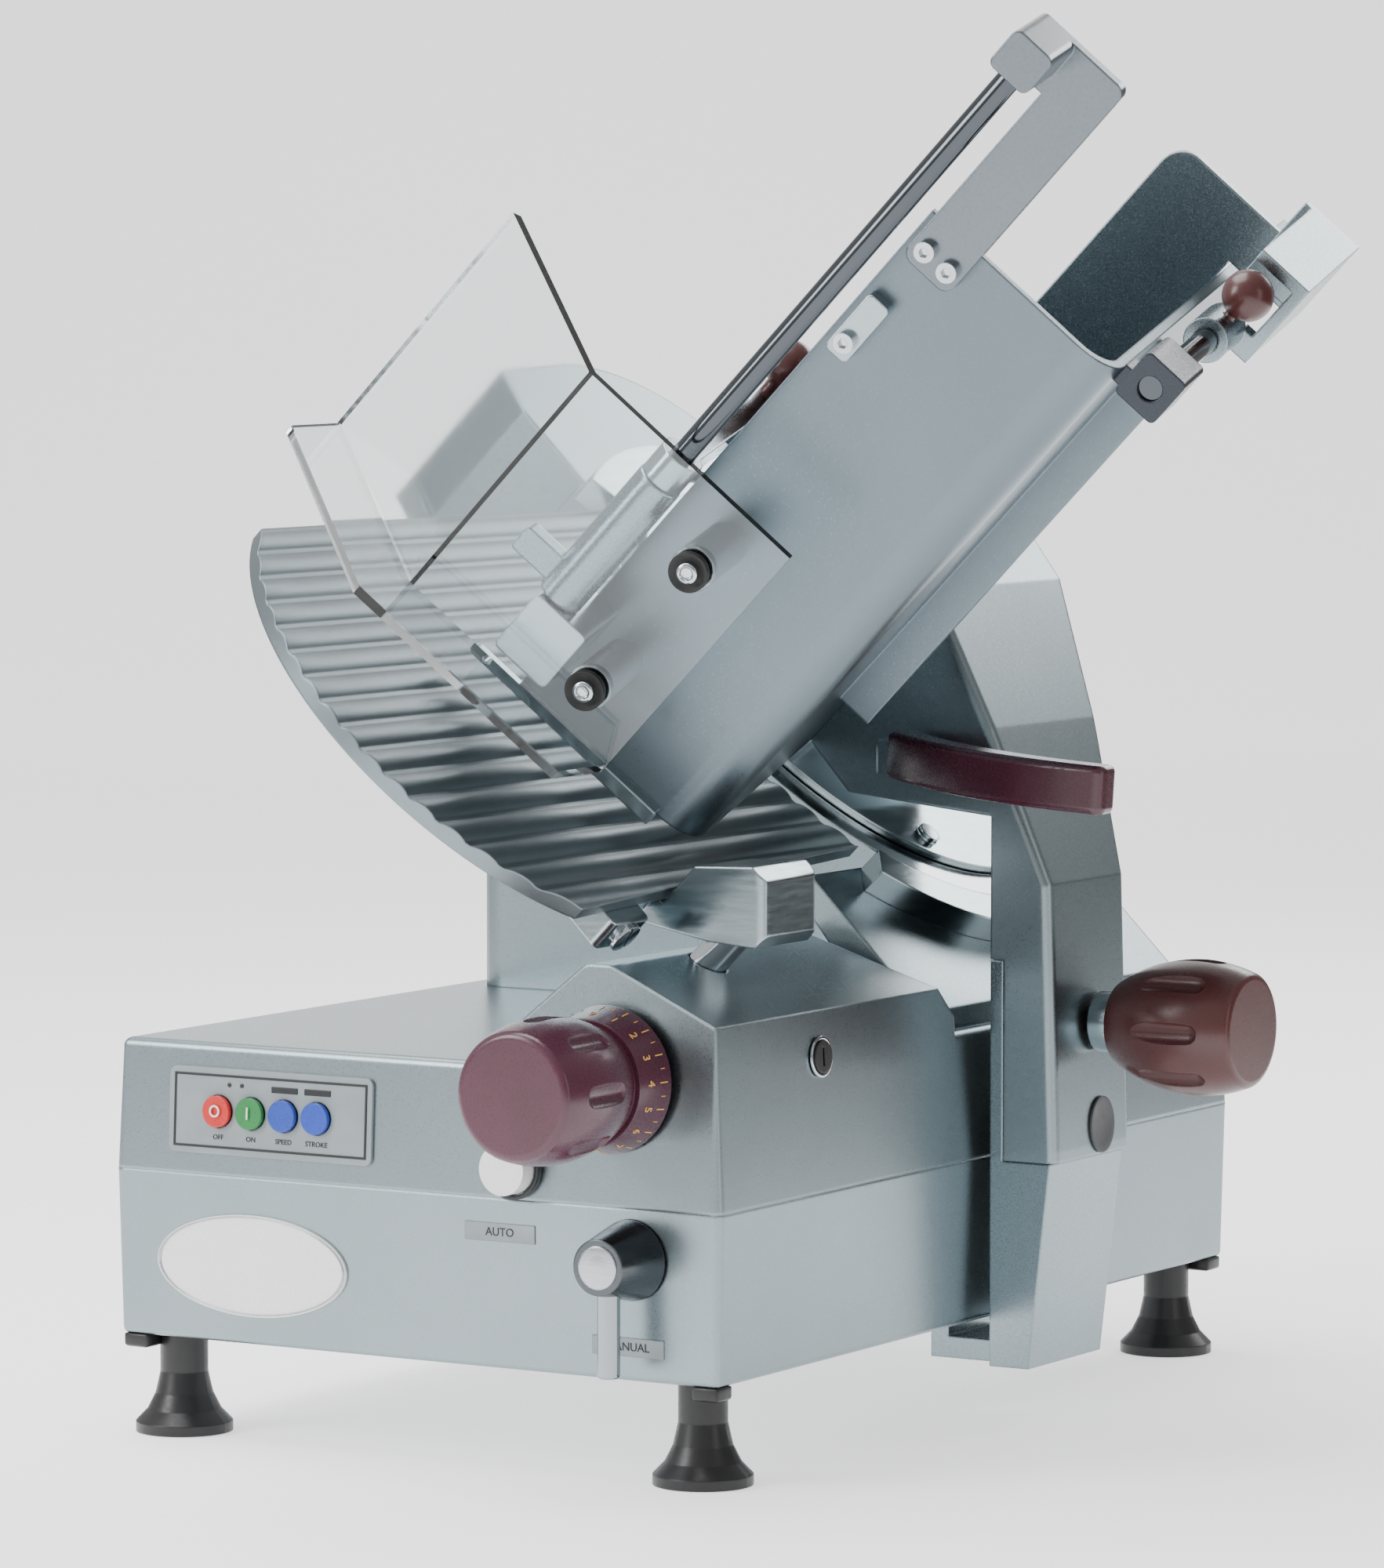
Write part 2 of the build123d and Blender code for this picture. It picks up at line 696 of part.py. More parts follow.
def sharpening_stone(index):
    front = head_front_w - 0.5
    wheel = Cylinder(stone_radius, 9) - Cylinder(4 + running_gap, 12)
    return in_head(Pos(stone_places()[index], 196, front - 48) * wheel)


# ---------------------------------------------------------------- carriage slide and drive
def slide_rod():
    return rod((rod_x, front_y + 10.2, rod_z), (0, 1, 0), rod_radius, base_depth - 20.4)


def slider_block():
    y0 = carriage_y - slider_length / 2
    y1 = y0 + slider_length
    block = box(rod_x - 18, rod_x + 24, y0, y1, rod_z - 18, rod_z + 18)
    belt_top = rod_z + stroke_pulley_radius + 3.2
    clamp = box(stroke_belt_x - 5, rod_x - 17, y0 + 10, y1 - 10, belt_top, belt_top + 5.8)
    rise = box(rod_x - 18, rod_x - 12, y0 + 10, y1 - 10, rod_z + 10, rod_z + stroke_pulley_radius + 9)
    block = block + clamp + rise
    return block - rod((rod_x, y0 - 1, rod_z), (0, 1, 0), rod_radius + running_gap, slider_length + 2)


def stroke_pulley(y, shaft_start, shaft_length):
    wheel = rod((stroke_belt_x - 6, y, rod_z), (1, 0, 0), stroke_pulley_radius, 12)
    for i in range(20):
        spoke = Pos(stroke_belt_x, y, rod_z) * Rot(X=18 * i)
        notch = spoke * Pos(0, 0, stroke_pulley_radius) * Box(14, 1.6, 1.6)
        wheel = wheel - notch
    return wheel + rod((shaft_start, y, rod_z), (1, 0, 0), 4, shaft_length)


def stroke_belt():
    gap = 0.35
    ends = ((-stroke_pulley_y, rod_z), (stroke_pulley_y, rod_z))
    inner = loop_band(ends[0], stroke_pulley_radius + gap, ends[1], stroke_pulley_radius + gap)
    grow = gap + stroke_belt_thickness
    outer = loop_band(ends[0], stroke_pulley_radius + grow, ends[1], stroke_pulley_radius + grow)
    seat = Plane(origin=(stroke_belt_x - stroke_belt_width / 2, 0, 0), x_dir=(0, 1, 0), z_dir=(1, 0, 0))
    return extrude(seat * (outer - inner), amount=stroke_belt_width)


def stroke_motor():
    y = stroke_pulley_y
    body = rod((0, y, rod_z), (1, 0, 0), 25, 60)
    gearbox = box(60, 80, y - 28, y + 28, foot_height + plate_thickness, rod_z + 28)
    foot = box(5, 60, y - 16, y + 16, foot_height + plate_thickness, rod_z - 10)
    return body + gearbox + foot - rod((40, y, rod_z), (1, 0, 0), 4 + running_gap, 60)


# ---------------------------------------------------------------- carriage castings
def carriage_foot():
    y0 = carriage_front_y
    y1 = carriage_back_y
    outline = [(foot_x, 28), (foot_x + 22, 28), (foot_x + 34, arm_bottom_z), (foot_x, arm_bottom_z)]
    slab = side_prism(outline, y0, y1)
    leg = box(rod_x + 12, foot_x + 6, carriage_y - 25, carriage_y + 25, 28, 39)
    web = box(rod_x + 12, rod_x + 22, carriage_y - 25, carriage_y + 25, 38, rod_z - 18)
    post = box(foot_x, foot_x + 7, y0, y1 - 6, arm_bottom_z - 1, arm_bottom_z + 101)
    return slab + leg + web + post


def floor_cutter():
    return in_tray(box(-200, 700, -600, 400, tray_floor_c, 500))


def carriage_arm():
    x = foot_x
    z = arm_bottom_z
    front_profile = [(x + 7.3, z + 0.3), (x + 7.3, z + 101.3), (x, z + 101.3), (x, z + 173),
                     (x - 29, z + 176), (x - 82, z + 182), (x - 107, z + 210), (x - 150, z + 252),
                     (x - 76, z + 330),
                     (x - 34, z + 286), (x, z + 217), (x + 33, z + 140), (x + 37, z + 6), (x + 37, z + 0.3)]
    y0 = carriage_front_y
    y1 = carriage_back_y
    side_profile = [(y0, z), (y0, z + 388), (y1 + 71, z + 388), (y1 + 71, z + 321), (y1 + 28, z + 207),
                    (y1, z + 140), (y1, z)]
    arm = side_prism(front_profile, y0 - 5, y1 + 80) & end_prism(side_profile, x - 200, x + 60)
    arm = arm - floor_cutter()
    corner = [e for e in arm.edges().filter_by(GeomType.LINE)
              if abs(e.center().Y - y0) < 0.1 and e.center().X > x + 14 and e.length > 60]
    arm = fillet(corner, 5)
    boss = box(x - 58, x - 38, y0 - 14, y0 + 1, z + 193, z + 211) - handle_bar()
    pocket = box(x + 12, x + 30, y0 + 12, y1 - 12, z - 5, z + 60)
    return arm + boss - pocket - rod((x - 5, lock_y(), lock_z()), (1, 0, 0), 6 + free_gap, 60)


def lock_y():
    return carriage_y + 7.5


def lock_z():
    return arm_bottom_z + 68


def lock_knob():
    y = lock_y()
    z = lock_z()
    x0 = foot_x + 37
    screw = rod((foot_x + 7.5, y, z), (1, 0, 0), 6, x0 - foot_x + 8)
    collar = rod((x0 + 0.5, y, z), (1, 0, 0), 13, 17)
    seat = Plane(origin=(x0 + 12.5, y, z), z_dir=(1, 0, 0))
    grip = seat.location * fluted_grip(20, lock_knob_radius, 28, lock_knob_length, 34)
    return screw + collar + grip


def handle_bar():
    x = foot_x - 44
    y = carriage_front_y
    outer = ThreePointArc((x - 6, y - 18), (x + 63, y - 62), (x + 144, y - 73))
    inner = ThreePointArc((x + 144, y - 55), (x + 73, y - 46), (x + 8, y - 6))
    tip = Line((x + 144, y - 73), (x + 144, y - 55))
    plan = make_face([outer, tip, inner, Line((x + 8, y - 6), (x - 6, y - 18))])
    bar = extrude(plan, amount=handle_height)
    bar = fillet(bar.edges().filter_by(Axis.Z).sort_by(Axis.X)[-2:], 6)
    bar = fillet(bar.edges().filter_by(Plane.XY), 3.5)
    return Pos(x, 0, arm_bottom_z + 191) * Rot(Y=3.6) * Pos(-x, 0, 0) * bar


# ---------------------------------------------------------------- tray
def tray():
    a0 = tray_near_w
    a1 = a0 + tray_length
    b0 = tray_wall_b
    c0 = tray_floor_c
    t = tray_thickness
    floor = box(a0, a1, b0, tray_back_b, c0, c0 + t)
    wall = box(a0, a1, b0, b0 + t, c0, tray_wall_top_c)
    trough = floor + wall
    rail = box(a0 + 60, a1 - 14, -196, -188, c0 - 19, c0)
    along = trough.edges().filter_by(Axis.X)
    inside = edges_near(along, b0 + t, c0 + t)
    trough = fillet(inside, tray_corner - t)
    along = trough.edges().filter_by(Axis.X)
    outside = edges_near(along, b0, c0)
    trough = fillet(outside, tray_corner) + rail
    return in_tray(trough)


def edges_near(edges, y, z):
    level = edges.filter_by_position(Axis.Y, y - 0.1, y + 0.1)
    return level.filter_by_position(Axis.Z, z - 0.1, z + 0.1)


def tray_lip():
    a0 = tray_near_w - 4
    b0 = tray_wall_b
    bar = box(a0, a0 + lip_width, b0 - 8, b0, 12, lip_top_c)
    bar = fillet(bar.edges().filter_by(Axis.Y).sort_by(Axis.Z)[-2:], 3)
    hole = Pos(a0 + lip_width / 2, b0 - 4, lip_top_c - 10) * Rot(X=90) * Cylinder(2.2, 12)
    return in_tray(bar - hole)


def rod_bracket():
    b0 = tray_wall_b - bracket_thickness
    bar = box(316, 444, b0, tray_wall_b, 71, 100)
    bar = fillet(bar.edges().filter_by(Axis.Y).sort_by(Axis.X)[:2], 6)
    top = box(426, 448, guide_rod_b - 12, tray_wall_b, guide_rod_c - 11.5, guide_rod_c + 11.5)
    top = fillet(top.edges().filter_by(Axis.Y), 4)
    shoulder = box(420, 448, b0, tray_wall_b, 71, guide_rod_c + 11.5)
    shoulder = fillet(shoulder.edges().filter_by(Axis.Y), 5)
    bracket = bar + top + shoulder
    bracket = bracket - Pos(400, guide_rod_b, guide_rod_c) * Rot(Y=90) * Cylinder(guide_rod_radius + 0.02, 76)
    for a, c in bracket_screws():
        bracket = bracket - Pos(a, b0, c) * Rot(X=90) * Cylinder(3.02, 60)
    return in_tray(bracket)


def bracket_screws():
    return ((326, 92), (326, 78))


def guide_rod():
    start = guard_near_a + 12
    length = 438 - start
    middle = Pos(start + length / 2, guide_rod_b, guide_rod_c)
    return in_tray(middle * Rot(Y=90) * Cylinder(guide_rod_radius, length))


def rod_blocks():
    low = box(47, 82, guide_rod_b - 14, tray_wall_b, 89, 121)
    low = fillet(low.edges().filter_by(Axis.Y), 3)
    low = low - Pos(60, guide_rod_b, guide_rod_c) * Rot(Y=90) * Cylinder(guide_rod_radius + 0.02, 60)
    stop = box(257, 292, tray_wall_b - 9, tray_wall_b, 86, 99)
    stop = fillet(stop.edges().filter_by(Axis.Y), 3)
    return [in_tray(low), in_tray(stop - Pos(266, tray_wall_b, 92.5) * Rot(X=90) * Cylinder(3.02, 40))]


def guard_standoffs():
    posts = []
    for a in standoff_places():
        post = Pos(a, (guard_front_b + guard_thickness + tray_wall_b) / 2, 73) * Rot(X=90) * Cylinder(
            standoff_radius, tray_wall_b - guard_front_b - guard_thickness)
        hole = Pos(a, guard_front_b, 73) * Rot(X=90) * Cylinder(3.02, 60)
        posts.append(in_tray(post - hole))
    return posts


def standoff_places():
    return (65, 146)


def clear_guard():
    t = guard_thickness
    b0 = guard_front_b
    low = (b0, guard_low_c)
    bend = (b0, guard_bend_c)
    tip = (b0 + 80, guard_bend_c + 86)
    back_tip = (tip[0] + 3.4, tip[1] - 3.7)
    outline = [low, bend, tip, back_tip, (b0 + t, guard_bend_c - 2), (b0 + t, guard_low_c)]
    seat = Plane(origin=(guard_near_a, 0, 0), x_dir=(0, 1, 0), z_dir=(1, 0, 0))
    panel = extrude(seat * face_of(outline), amount=guard_far_a - guard_near_a)
    reach = guard_flange
    side = [(b0 + 2, guard_low_c), (b0 + 2, guard_bend_c), (tip[0] + 1, tip[1] - 2),
            (tip[0] - reach * 0.96, tip[1] + reach * 0.29 - 2),
            (b0 - reach * 0.96, guard_bend_c + reach * 0.29), (b0 - reach * 0.96, guard_low_c + reach * 0.29)]
    flange = extrude(seat * face_of(side), amount=t)
    guard = panel + flange
    for a in standoff_places():
        guard = guard - Pos(a, b0, 73) * Rot(X=90) * Cylinder(3.3, 40)
    return in_tray(guard)


def cap_screw(a, b, c, shank):
    """Socket screw along b with its head on the outside."""
    head_disc = Pos(a, b - 2.5, c) * Rot(X=90) * Cylinder(screw_radius, 5)
    socket = Pos(a, b - 5, c) * Rot(X=90) * extrude(RegularPolygon(2.5, 6), amount=2.6, both=True)
    stem = Pos(a, b + shank / 2, c) * Rot(X=90) * Cylinder(3, shank)
    return in_tray(head_disc - socket + stem)


def carriage_screws():
    seat_b = tray_wall_b - bracket_thickness
    screws = [cap_screw(a, seat_b, c, bracket_thickness - 0.1) for a, c in bracket_screws()]
    screws.append(cap_screw(266, tray_wall_b - 9, 92.5, 8.9))
    for a in standoff_places():
        screws.append(cap_screw(a, guard_front_b, 73, 30))
    return screws


# ---------------------------------------------------------------- pusher
def pusher_sleeve():
    start = 82.4
    middle = Pos(start + sleeve_length / 2, guide_rod_b, guide_rod_c) * Rot(Y=90)
    sleeve = middle * Cylinder(sleeve_radius, sleeve_length)
    sleeve = fillet(sleeve.edges().filter_by(GeomType.CIRCLE), 1.2)
    lug = box(start + 4, start + 18, guide_rod_b - 5, guide_rod_b + 5, guide_rod_c + 8, guide_rod_c + 33)
    sleeve = sleeve + fillet(lug.edges().filter_by(Axis.Y), 2)
    return in_tray(sleeve - middle * Cylinder(guide_rod_radius + running_gap, sleeve_length + 2))


def pusher_start():
    return 82.4 + sleeve_length + 0.4


def pusher_plate():
    a0 = pusher_start()
    ring = Pos(a0 + 8, guide_rod_b, guide_rod_c) * Rot(Y=90) * Cylinder(11, 16)
    arm = box(a0, a0 + 16, guide_rod_b, -160, guide_rod_c - 7, guide_rod_c + 6)
    drop = box(a0, a0 + 16, -262, -160, 62, guide_rod_c + 6)
    foot = box(a0, a0 + 7, -290, -150, 12, 92)
    foot = fillet(foot.edges().filter_by(Axis.X), 12)
    plate = ring + arm + drop + foot
    way = Rot(Y=90) * Cylinder(guide_rod_radius + running_gap, 40)
    plate = plate - Pos(a0 + 8, guide_rod_b, guide_rod_c) * way
    for i in range(3):
        for j in range(2):
            spike = Pos(a0 - 3.5, -266 + 46 * i, 32 + 34 * j) * Rot(Y=-90) * Cone(3.5, 0.6, 9)
            plate = plate + spike
    return in_tray(plate)


def pusher_knob():
    seat = Pos(pusher_start() + 16, -222, guide_rod_c) * Rot(Y=90)
    stem = seat * Cylinder(4, 12, align=from_base)
    ball = seat * Pos(0, 0, 20) * Sphere(12.5)
    return in_tray(stem + ball)


# ---------------------------------------------------------------- side fence
def fence_rod():
    start = tray_wall_b - 10
    length = 165
    bar = Rot(X=90) * Cylinder(fence_rod_radius, length)
    return in_tray(Pos(fence_rod_a, start + length / 2, fence_rod_c) * bar)


def fence_clamp():
    end = tray_near_w + tray_length
    block = box(end, end + 26, tray_wall_b - 12, tray_wall_b + 22, fence_rod_c - 12, fence_rod_c + 12)
    block = fillet(block.edges().filter_by(Axis.Y), 3)
    tie = box(end - 8, end + 2, tray_wall_b + 20, tray_wall_b + 36, fence_rod_c - 4, tray_floor_c)
    link = box(end, end + 8, tray_wall_b + 18, tray_wall_b + 36, fence_rod_c - 10, fence_rod_c + 10)
    block = block + tie + link
    way = Rot(X=90) * Cylinder(fence_rod_radius + 0.02, 120)
    block = block - Pos(fence_rod_a, tray_wall_b, fence_rod_c) * way
    return in_tray(block)


def fence_plate():
    a0 = 30
    a1 = 372
    b = fence_b
    low = tray_floor_c + tray_thickness + 1
    plate = box(a0, a1, b, b + fence_thickness, low, fence_top_c)
    plate = fillet(plate.edges().filter_by(Axis.Y).sort_by(Axis.Z)[-2:], 14)
    tail = box(tray_near_w + tray_length + 4, a1, b, b + fence_thickness, fence_rod_c - 18, low + 4)
    return in_tray(plate + tail)


def fence_bracket():
    b = fence_b
    a0 = fence_rod_a
    sleeve = Pos(a0, -205, fence_rod_c) * Rot(X=90) * Cylinder(11, 34)
    low = fence_rod_c - 20
    web = box(a0 - 4, a0 + 42, -190, b - 1, low, low + 6)
    rib = box(a0 + 36, a0 + 42, -190, b - 1, low, low + 30)
    strut = box(a0 - 6, a0 + 6, -190, -180, low, fence_rod_c - 8)
    flange = box(a0 - 4, a0 + 42, b - 6, b, low, low + 34)
    bracket = sleeve + web + rib + strut + flange
    bracket = bracket - Pos(a0, -190, fence_rod_c) * Rot(X=90) * Cylinder(fence_rod_radius + running_gap, 70)
    return in_tray(bracket - fence_knob_cut())


def fence_knob_cut():
    return Pos(fence_rod_a + 12, -205, fence_rod_c) * Rot(Y=90) * Cylinder(3 + running_gap, 14)


def fence_knob():
    seat = Pos(fence_rod_a + fence_rod_radius + 0.4, -205, fence_rod_c) * Rot(Y=90)
    stem = seat * Cylinder(3, 12, align=from_base)
    ball = seat * Pos(0, 0, 18.6) * Sphere(12.5)
    return in_tray(stem + ball)


def as_group(parts):
    if isinstance(parts, (list, tuple)):
        return Compound(children=list(parts))
    return parts


nodes = {
    "lower_shell": lower_shell, "upper_shell": upper_shell, "bottom_plate": bottom_plate, "feet": feet,
    "control_panel": control_panel, "badge_plate": badge_plate, "side_lock": side_lock,
    "control_board": control_board, "head_casting": head_casting, "ring_guard": ring_guard,
    "blade_cover": blade_cover, "blade_motor": blade_motor, "blade_bearings": blade_bearings,
    "blade_belt": blade_belt, "slide_rod": slide_rod, "stroke_motor": stroke_motor,
    "stroke_belt": stroke_belt, "gauge_bush": gauge_bush,
    "blade": blade, "blade_hub": blade_hub, "blade_pulley": blade_pulley, "motor_pulley": motor_pulley,
    "gauge_plate": gauge_plate, "gauge_arm": gauge_arm, "gauge_shaft": gauge_shaft,
    "thickness_knob": thickness_knob, "thickness_cam": thickness_cam,
    "lever_hub": lever_hub, "lever_bar": lever_bar, "switch_knob": switch_knob,
    "off_button": lambda: button(button_places()[0]), "on_button": lambda: button(button_places()[1]),
    "speed_button": lambda: button(button_places()[2]), "stroke_button": lambda: button(button_places()[3]),
    "sharpener_cover": sharpener_cover,
    "sharpening_stone": lambda: sharpening_stone(0), "truing_stone": lambda: sharpening_stone(1),
    "slider_block": slider_block, "carriage_foot": carriage_foot, "carriage_arm": carriage_arm,
    "handle_bar": handle_bar, "lock_knob": lock_knob, "tray": tray, "tray_lip": tray_lip,
    "rod_bracket": rod_bracket, "guide_rod": guide_rod, "rod_blocks": rod_blocks,
    "guard_standoffs": guard_standoffs, "clear_guard": clear_guard, "carriage_screws": carriage_screws,
    "pusher_sleeve": pusher_sleeve, "pusher_plate": pusher_plate, "pusher_knob": pusher_knob,
    "fence_rod": fence_rod, "fence_clamp": fence_clamp, "fence_plate": fence_plate,
    "fence_bracket": fence_bracket, "fence_knob": fence_knob,
    "drive_pulley": lambda: stroke_pulley(stroke_pulley_y, stroke_belt_x - 35, 40),
    "idler_pulley": lambda: stroke_pulley(-stroke_pulley_y, stroke_belt_x, 13),
}

os.makedirs("parts", exist_ok=True)
for name, make in nodes.items():
    export_step(as_group(make()), "parts/" + name + ".step")
    print("wrote", name)
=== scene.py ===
import bpy
import json
from math import cos, radians, sin
from mathutils import Euler, Matrix, Vector


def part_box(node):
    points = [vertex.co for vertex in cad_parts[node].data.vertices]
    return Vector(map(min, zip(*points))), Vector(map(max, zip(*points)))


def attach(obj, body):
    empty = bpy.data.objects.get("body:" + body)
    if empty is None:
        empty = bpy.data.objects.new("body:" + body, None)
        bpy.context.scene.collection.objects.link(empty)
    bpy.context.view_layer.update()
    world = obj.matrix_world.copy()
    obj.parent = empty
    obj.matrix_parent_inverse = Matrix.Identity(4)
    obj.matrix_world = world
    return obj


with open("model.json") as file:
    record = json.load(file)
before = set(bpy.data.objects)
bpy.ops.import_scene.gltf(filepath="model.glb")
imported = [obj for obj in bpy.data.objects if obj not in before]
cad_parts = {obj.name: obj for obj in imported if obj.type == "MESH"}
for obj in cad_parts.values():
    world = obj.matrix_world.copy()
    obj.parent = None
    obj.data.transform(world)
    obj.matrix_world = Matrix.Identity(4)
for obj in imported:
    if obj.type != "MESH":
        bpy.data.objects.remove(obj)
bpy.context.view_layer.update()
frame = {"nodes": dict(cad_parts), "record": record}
record = frame["record"]
joints = {j["name"]: j for j in record["behaviour"]["joints"]}
print("slicer: frame loaded,", len(frame["nodes"]), "parts")


def boxMiddle(node):
    low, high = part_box(node)
    return (Vector(low) + Vector(high)) / 2


def planeAt(origin, xDir, zDir):
    z = Vector(zDir).normalized()
    x = Vector(xDir)
    x = (x - z * x.dot(z)).normalized()
    y = z.cross(x)
    rows = Matrix((x, y, z)).transposed().to_4x4()
    rows.translation = Vector(origin)
    return rows


feedDir = Vector(joints["blade_spin"]["axis"]).normalized()
upBlade = Vector((-feedDir.z, 0, feedDir.x))
headPlace = planeAt(Vector(joints["blade_spin"]["pos_m"]), (0, 1, 0), feedDir)
slipDir = Vector(joints["fence_slide"]["axis"]).normalized()
wallDir = feedDir.cross(slipDir)
trayPlace = planeAt(Vector(joints["blade_spin"]["pos_m"]), feedDir, wallDir)


# ---- hand tools ----
def clearHands():
    if bpy.context.object and bpy.context.object.mode != "OBJECT":
        bpy.ops.object.mode_set(mode="OBJECT")
    bpy.ops.object.select_all(action="DESELECT")


def nameIt(name):
    obj = bpy.context.object
    obj.name = name
    obj.data.name = name
    return obj


def startDrum(name, radius, length, sides=48):
    clearHands()
    middle = (0, 0, length / 2)
    bpy.ops.mesh.primitive_cylinder_add(vertices=sides, radius=radius, depth=length, location=middle)
    bpy.ops.object.transform_apply(location=True, rotation=True, scale=True)
    return nameIt(name)


def startBlock(name, width, depth, height, middle=(0, 0, 0)):
    clearHands()
    bpy.ops.mesh.primitive_cube_add(size=1, location=middle)
    bpy.context.object.scale = (width, depth, height)
    bpy.ops.object.transform_apply(location=True, rotation=True, scale=True)
    return nameIt(name)


def pickFaces(obj, test):
    bpy.ops.object.mode_set(mode="EDIT")
    bpy.ops.mesh.select_mode(type="FACE")
    bpy.ops.mesh.select_all(action="DESELECT")
    bpy.ops.object.mode_set(mode="OBJECT")
    for face in obj.data.polygons:
        face.select = test(face)
    bpy.ops.object.mode_set(mode="EDIT")


def pickEdges(obj, test):
    bpy.ops.object.mode_set(mode="EDIT")
    bpy.ops.mesh.select_mode(type="EDGE")
    bpy.ops.mesh.select_all(action="DESELECT")
    bpy.ops.object.mode_set(mode="OBJECT")
    points = obj.data.vertices
    for edge in obj.data.edges:
        edge.select = test(points[edge.vertices[0]].co, points[edge.vertices[1]].co)
    bpy.ops.object.mode_set(mode="EDIT")


def bothAt(first, second, level):
    return abs(abs(first) - level) < 1e-5 and abs(abs(second) - level) < 1e-5


def roundEdges(obj, width, steps=3, angle=40):
    bevel = obj.modifiers.new("edge", "BEVEL")
    bevel.width = width
    bevel.segments = steps
    bevel.limit_method = "ANGLE"
    bevel.angle_limit = radians(angle)
    bpy.context.view_layer.objects.active = obj
    bpy.ops.object.modifier_apply(modifier=bevel.name)


def finishPiece(obj, place, finish, body, smooth=35):
    clearHands()
    obj.select_set(True)
    bpy.context.view_layer.objects.active = obj
    obj.matrix_world = place
    bpy.ops.object.transform_apply(location=True, rotation=True, scale=True)
    bpy.ops.object.mode_set(mode="EDIT")
    bpy.ops.mesh.select_all(action="SELECT")
    bpy.ops.mesh.remove_doubles(threshold=0.00001)
    bpy.ops.mesh.normals_make_consistent(inside=False)
    bpy.ops.object.mode_set(mode="OBJECT")
    bpy.ops.object.shade_smooth_by_angle(angle=radians(smooth))
    obj.data.materials.clear()
    obj.data.materials.append(finishes[finish])
    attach(obj, body)
    return obj


def joinPieces(name, pieces):
    clearHands()
    for piece in pieces:
        piece.select_set(True)
    bpy.context.view_layer.objects.active = pieces[0]
    if len(pieces) > 1:
        bpy.ops.object.join()
    return nameIt(name)


def makeText(name, words, size, thickness, place):
    clearHands()
    bpy.ops.object.text_add(location=(0, 0, 0))
    obj = bpy.context.object
    obj.data.body = words
    obj.data.size = size
    obj.data.extrude = thickness / 2
    obj.data.align_x = "CENTER"
    obj.data.align_y = "CENTER"
    obj.data.resolution_u = 3
    bpy.ops.object.convert(target="MESH")
    obj = nameIt(name)
    obj.matrix_world = place
    bpy.ops.object.transform_apply(location=True, rotation=True, scale=True)
    return obj


# ---- finishes ----
finishes = {}


def newFinish(name, slot, color, metallic, roughness, **shine):
    material = bpy.data.materials.new(name)
    material.use_nodes = True
    shader = material.node_tree.nodes["Principled BSDF"]
    shader.inputs["Base Color"].default_value = (*color, 1)
    shader.inputs["Metallic"].default_value = metallic
    shader.inputs["Roughness"].default_value = roughness
    for socket, value in shine.items():
        shader.inputs[socket.replace("_", " ")].default_value = value
    finishes[name] = material
    return material, shader


def objectCoords(material, stretch=(1, 1, 1)):
    tree = material.node_tree
    coords = tree.nodes.new("ShaderNodeTexCoord")
    mapping = tree.nodes.new("ShaderNodeMapping")
    mapping.inputs["Scale"].default_value = stretch
    tree.links.new(coords.outputs["Object"], mapping.inputs["Vector"])
    return mapping.outputs["Vector"]


def addNoise(material, vector, scale, detail=3.0, rough=0.55):
    tree = material.node_tree
    noise = tree.nodes.new("ShaderNodeTexNoise")
    noise.inputs["Scale"].default_value = scale
    noise.inputs["Detail"].default_value = detail
    noise.inputs["Roughness"].default_value = rough
    tree.links.new(vector, noise.inputs["Vector"])
    return noise.outputs["Fac"]


def spread(material, value, low, high, socket):
    tree = material.node_tree
    ranged = tree.nodes.new("ShaderNodeMapRange")
    ranged.inputs["From Min"].default_value = 0.3
    ranged.inputs["From Max"].default_value = 0.7
    ranged.inputs["To Min"].default_value = low
    ranged.inputs["To Max"].default_value = high
    tree.links.new(value, ranged.inputs["Value"])
    tree.links.new(ranged.outputs["Result"], socket)


def tint(material, value, dark, light, socket):
    tree = material.node_tree
    ramp = tree.nodes.new("ShaderNodeValToRGB")
    ramp.color_ramp.elements[0].position = 0.3
    ramp.color_ramp.elements[0].color = (*dark, 1)
    ramp.color_ramp.elements[1].position = 0.7
    ramp.color_ramp.elements[1].color = (*light, 1)
    tree.links.new(value, ramp.inputs["Fac"])
    tree.links.new(ramp.outputs["Color"], socket)


def relief(material, shader, value, strength, distance, edge=0.0):
    tree = material.node_tree
    bump = tree.nodes.new("ShaderNodeBump")
    bump.inputs["Strength"].default_value = strength
    bump.inputs["Distance"].default_value = distance
    tree.links.new(value, bump.inputs["Height"])
    if edge > 0:
        rounding = tree.nodes.new("ShaderNodeBevel")
        rounding.samples = 6
        rounding.inputs["Radius"].default_value = edge
        tree.links.new(rounding.outputs["Normal"], bump.inputs["Normal"])
    tree.links.new(bump.outputs["Normal"], shader.inputs["Normal"])


def scaled(color, by):
    return tuple(min(1.0, c * by) for c in color)


def metalFinish(name, slot, color, rough, grain=700, stretch=(1, 1, 1), swing=0.06, bump=0.1,
                cloud=0.05, edge=0.0015):
    material, shader = newFinish(name, slot, color, 1.0, rough)
    fine = addNoise(material, objectCoords(material, stretch), grain, 4)
    broad = addNoise(material, objectCoords(material), 9, 3)
    tint(material, broad, scaled(color, 1 - cloud), scaled(color, 1 + cloud), shader.inputs["Base Color"])
    spread(material, fine, rough - swing, rough + swing, shader.inputs["Roughness"])
    relief(material, shader, fine, bump, 0.0003, edge)
    return material


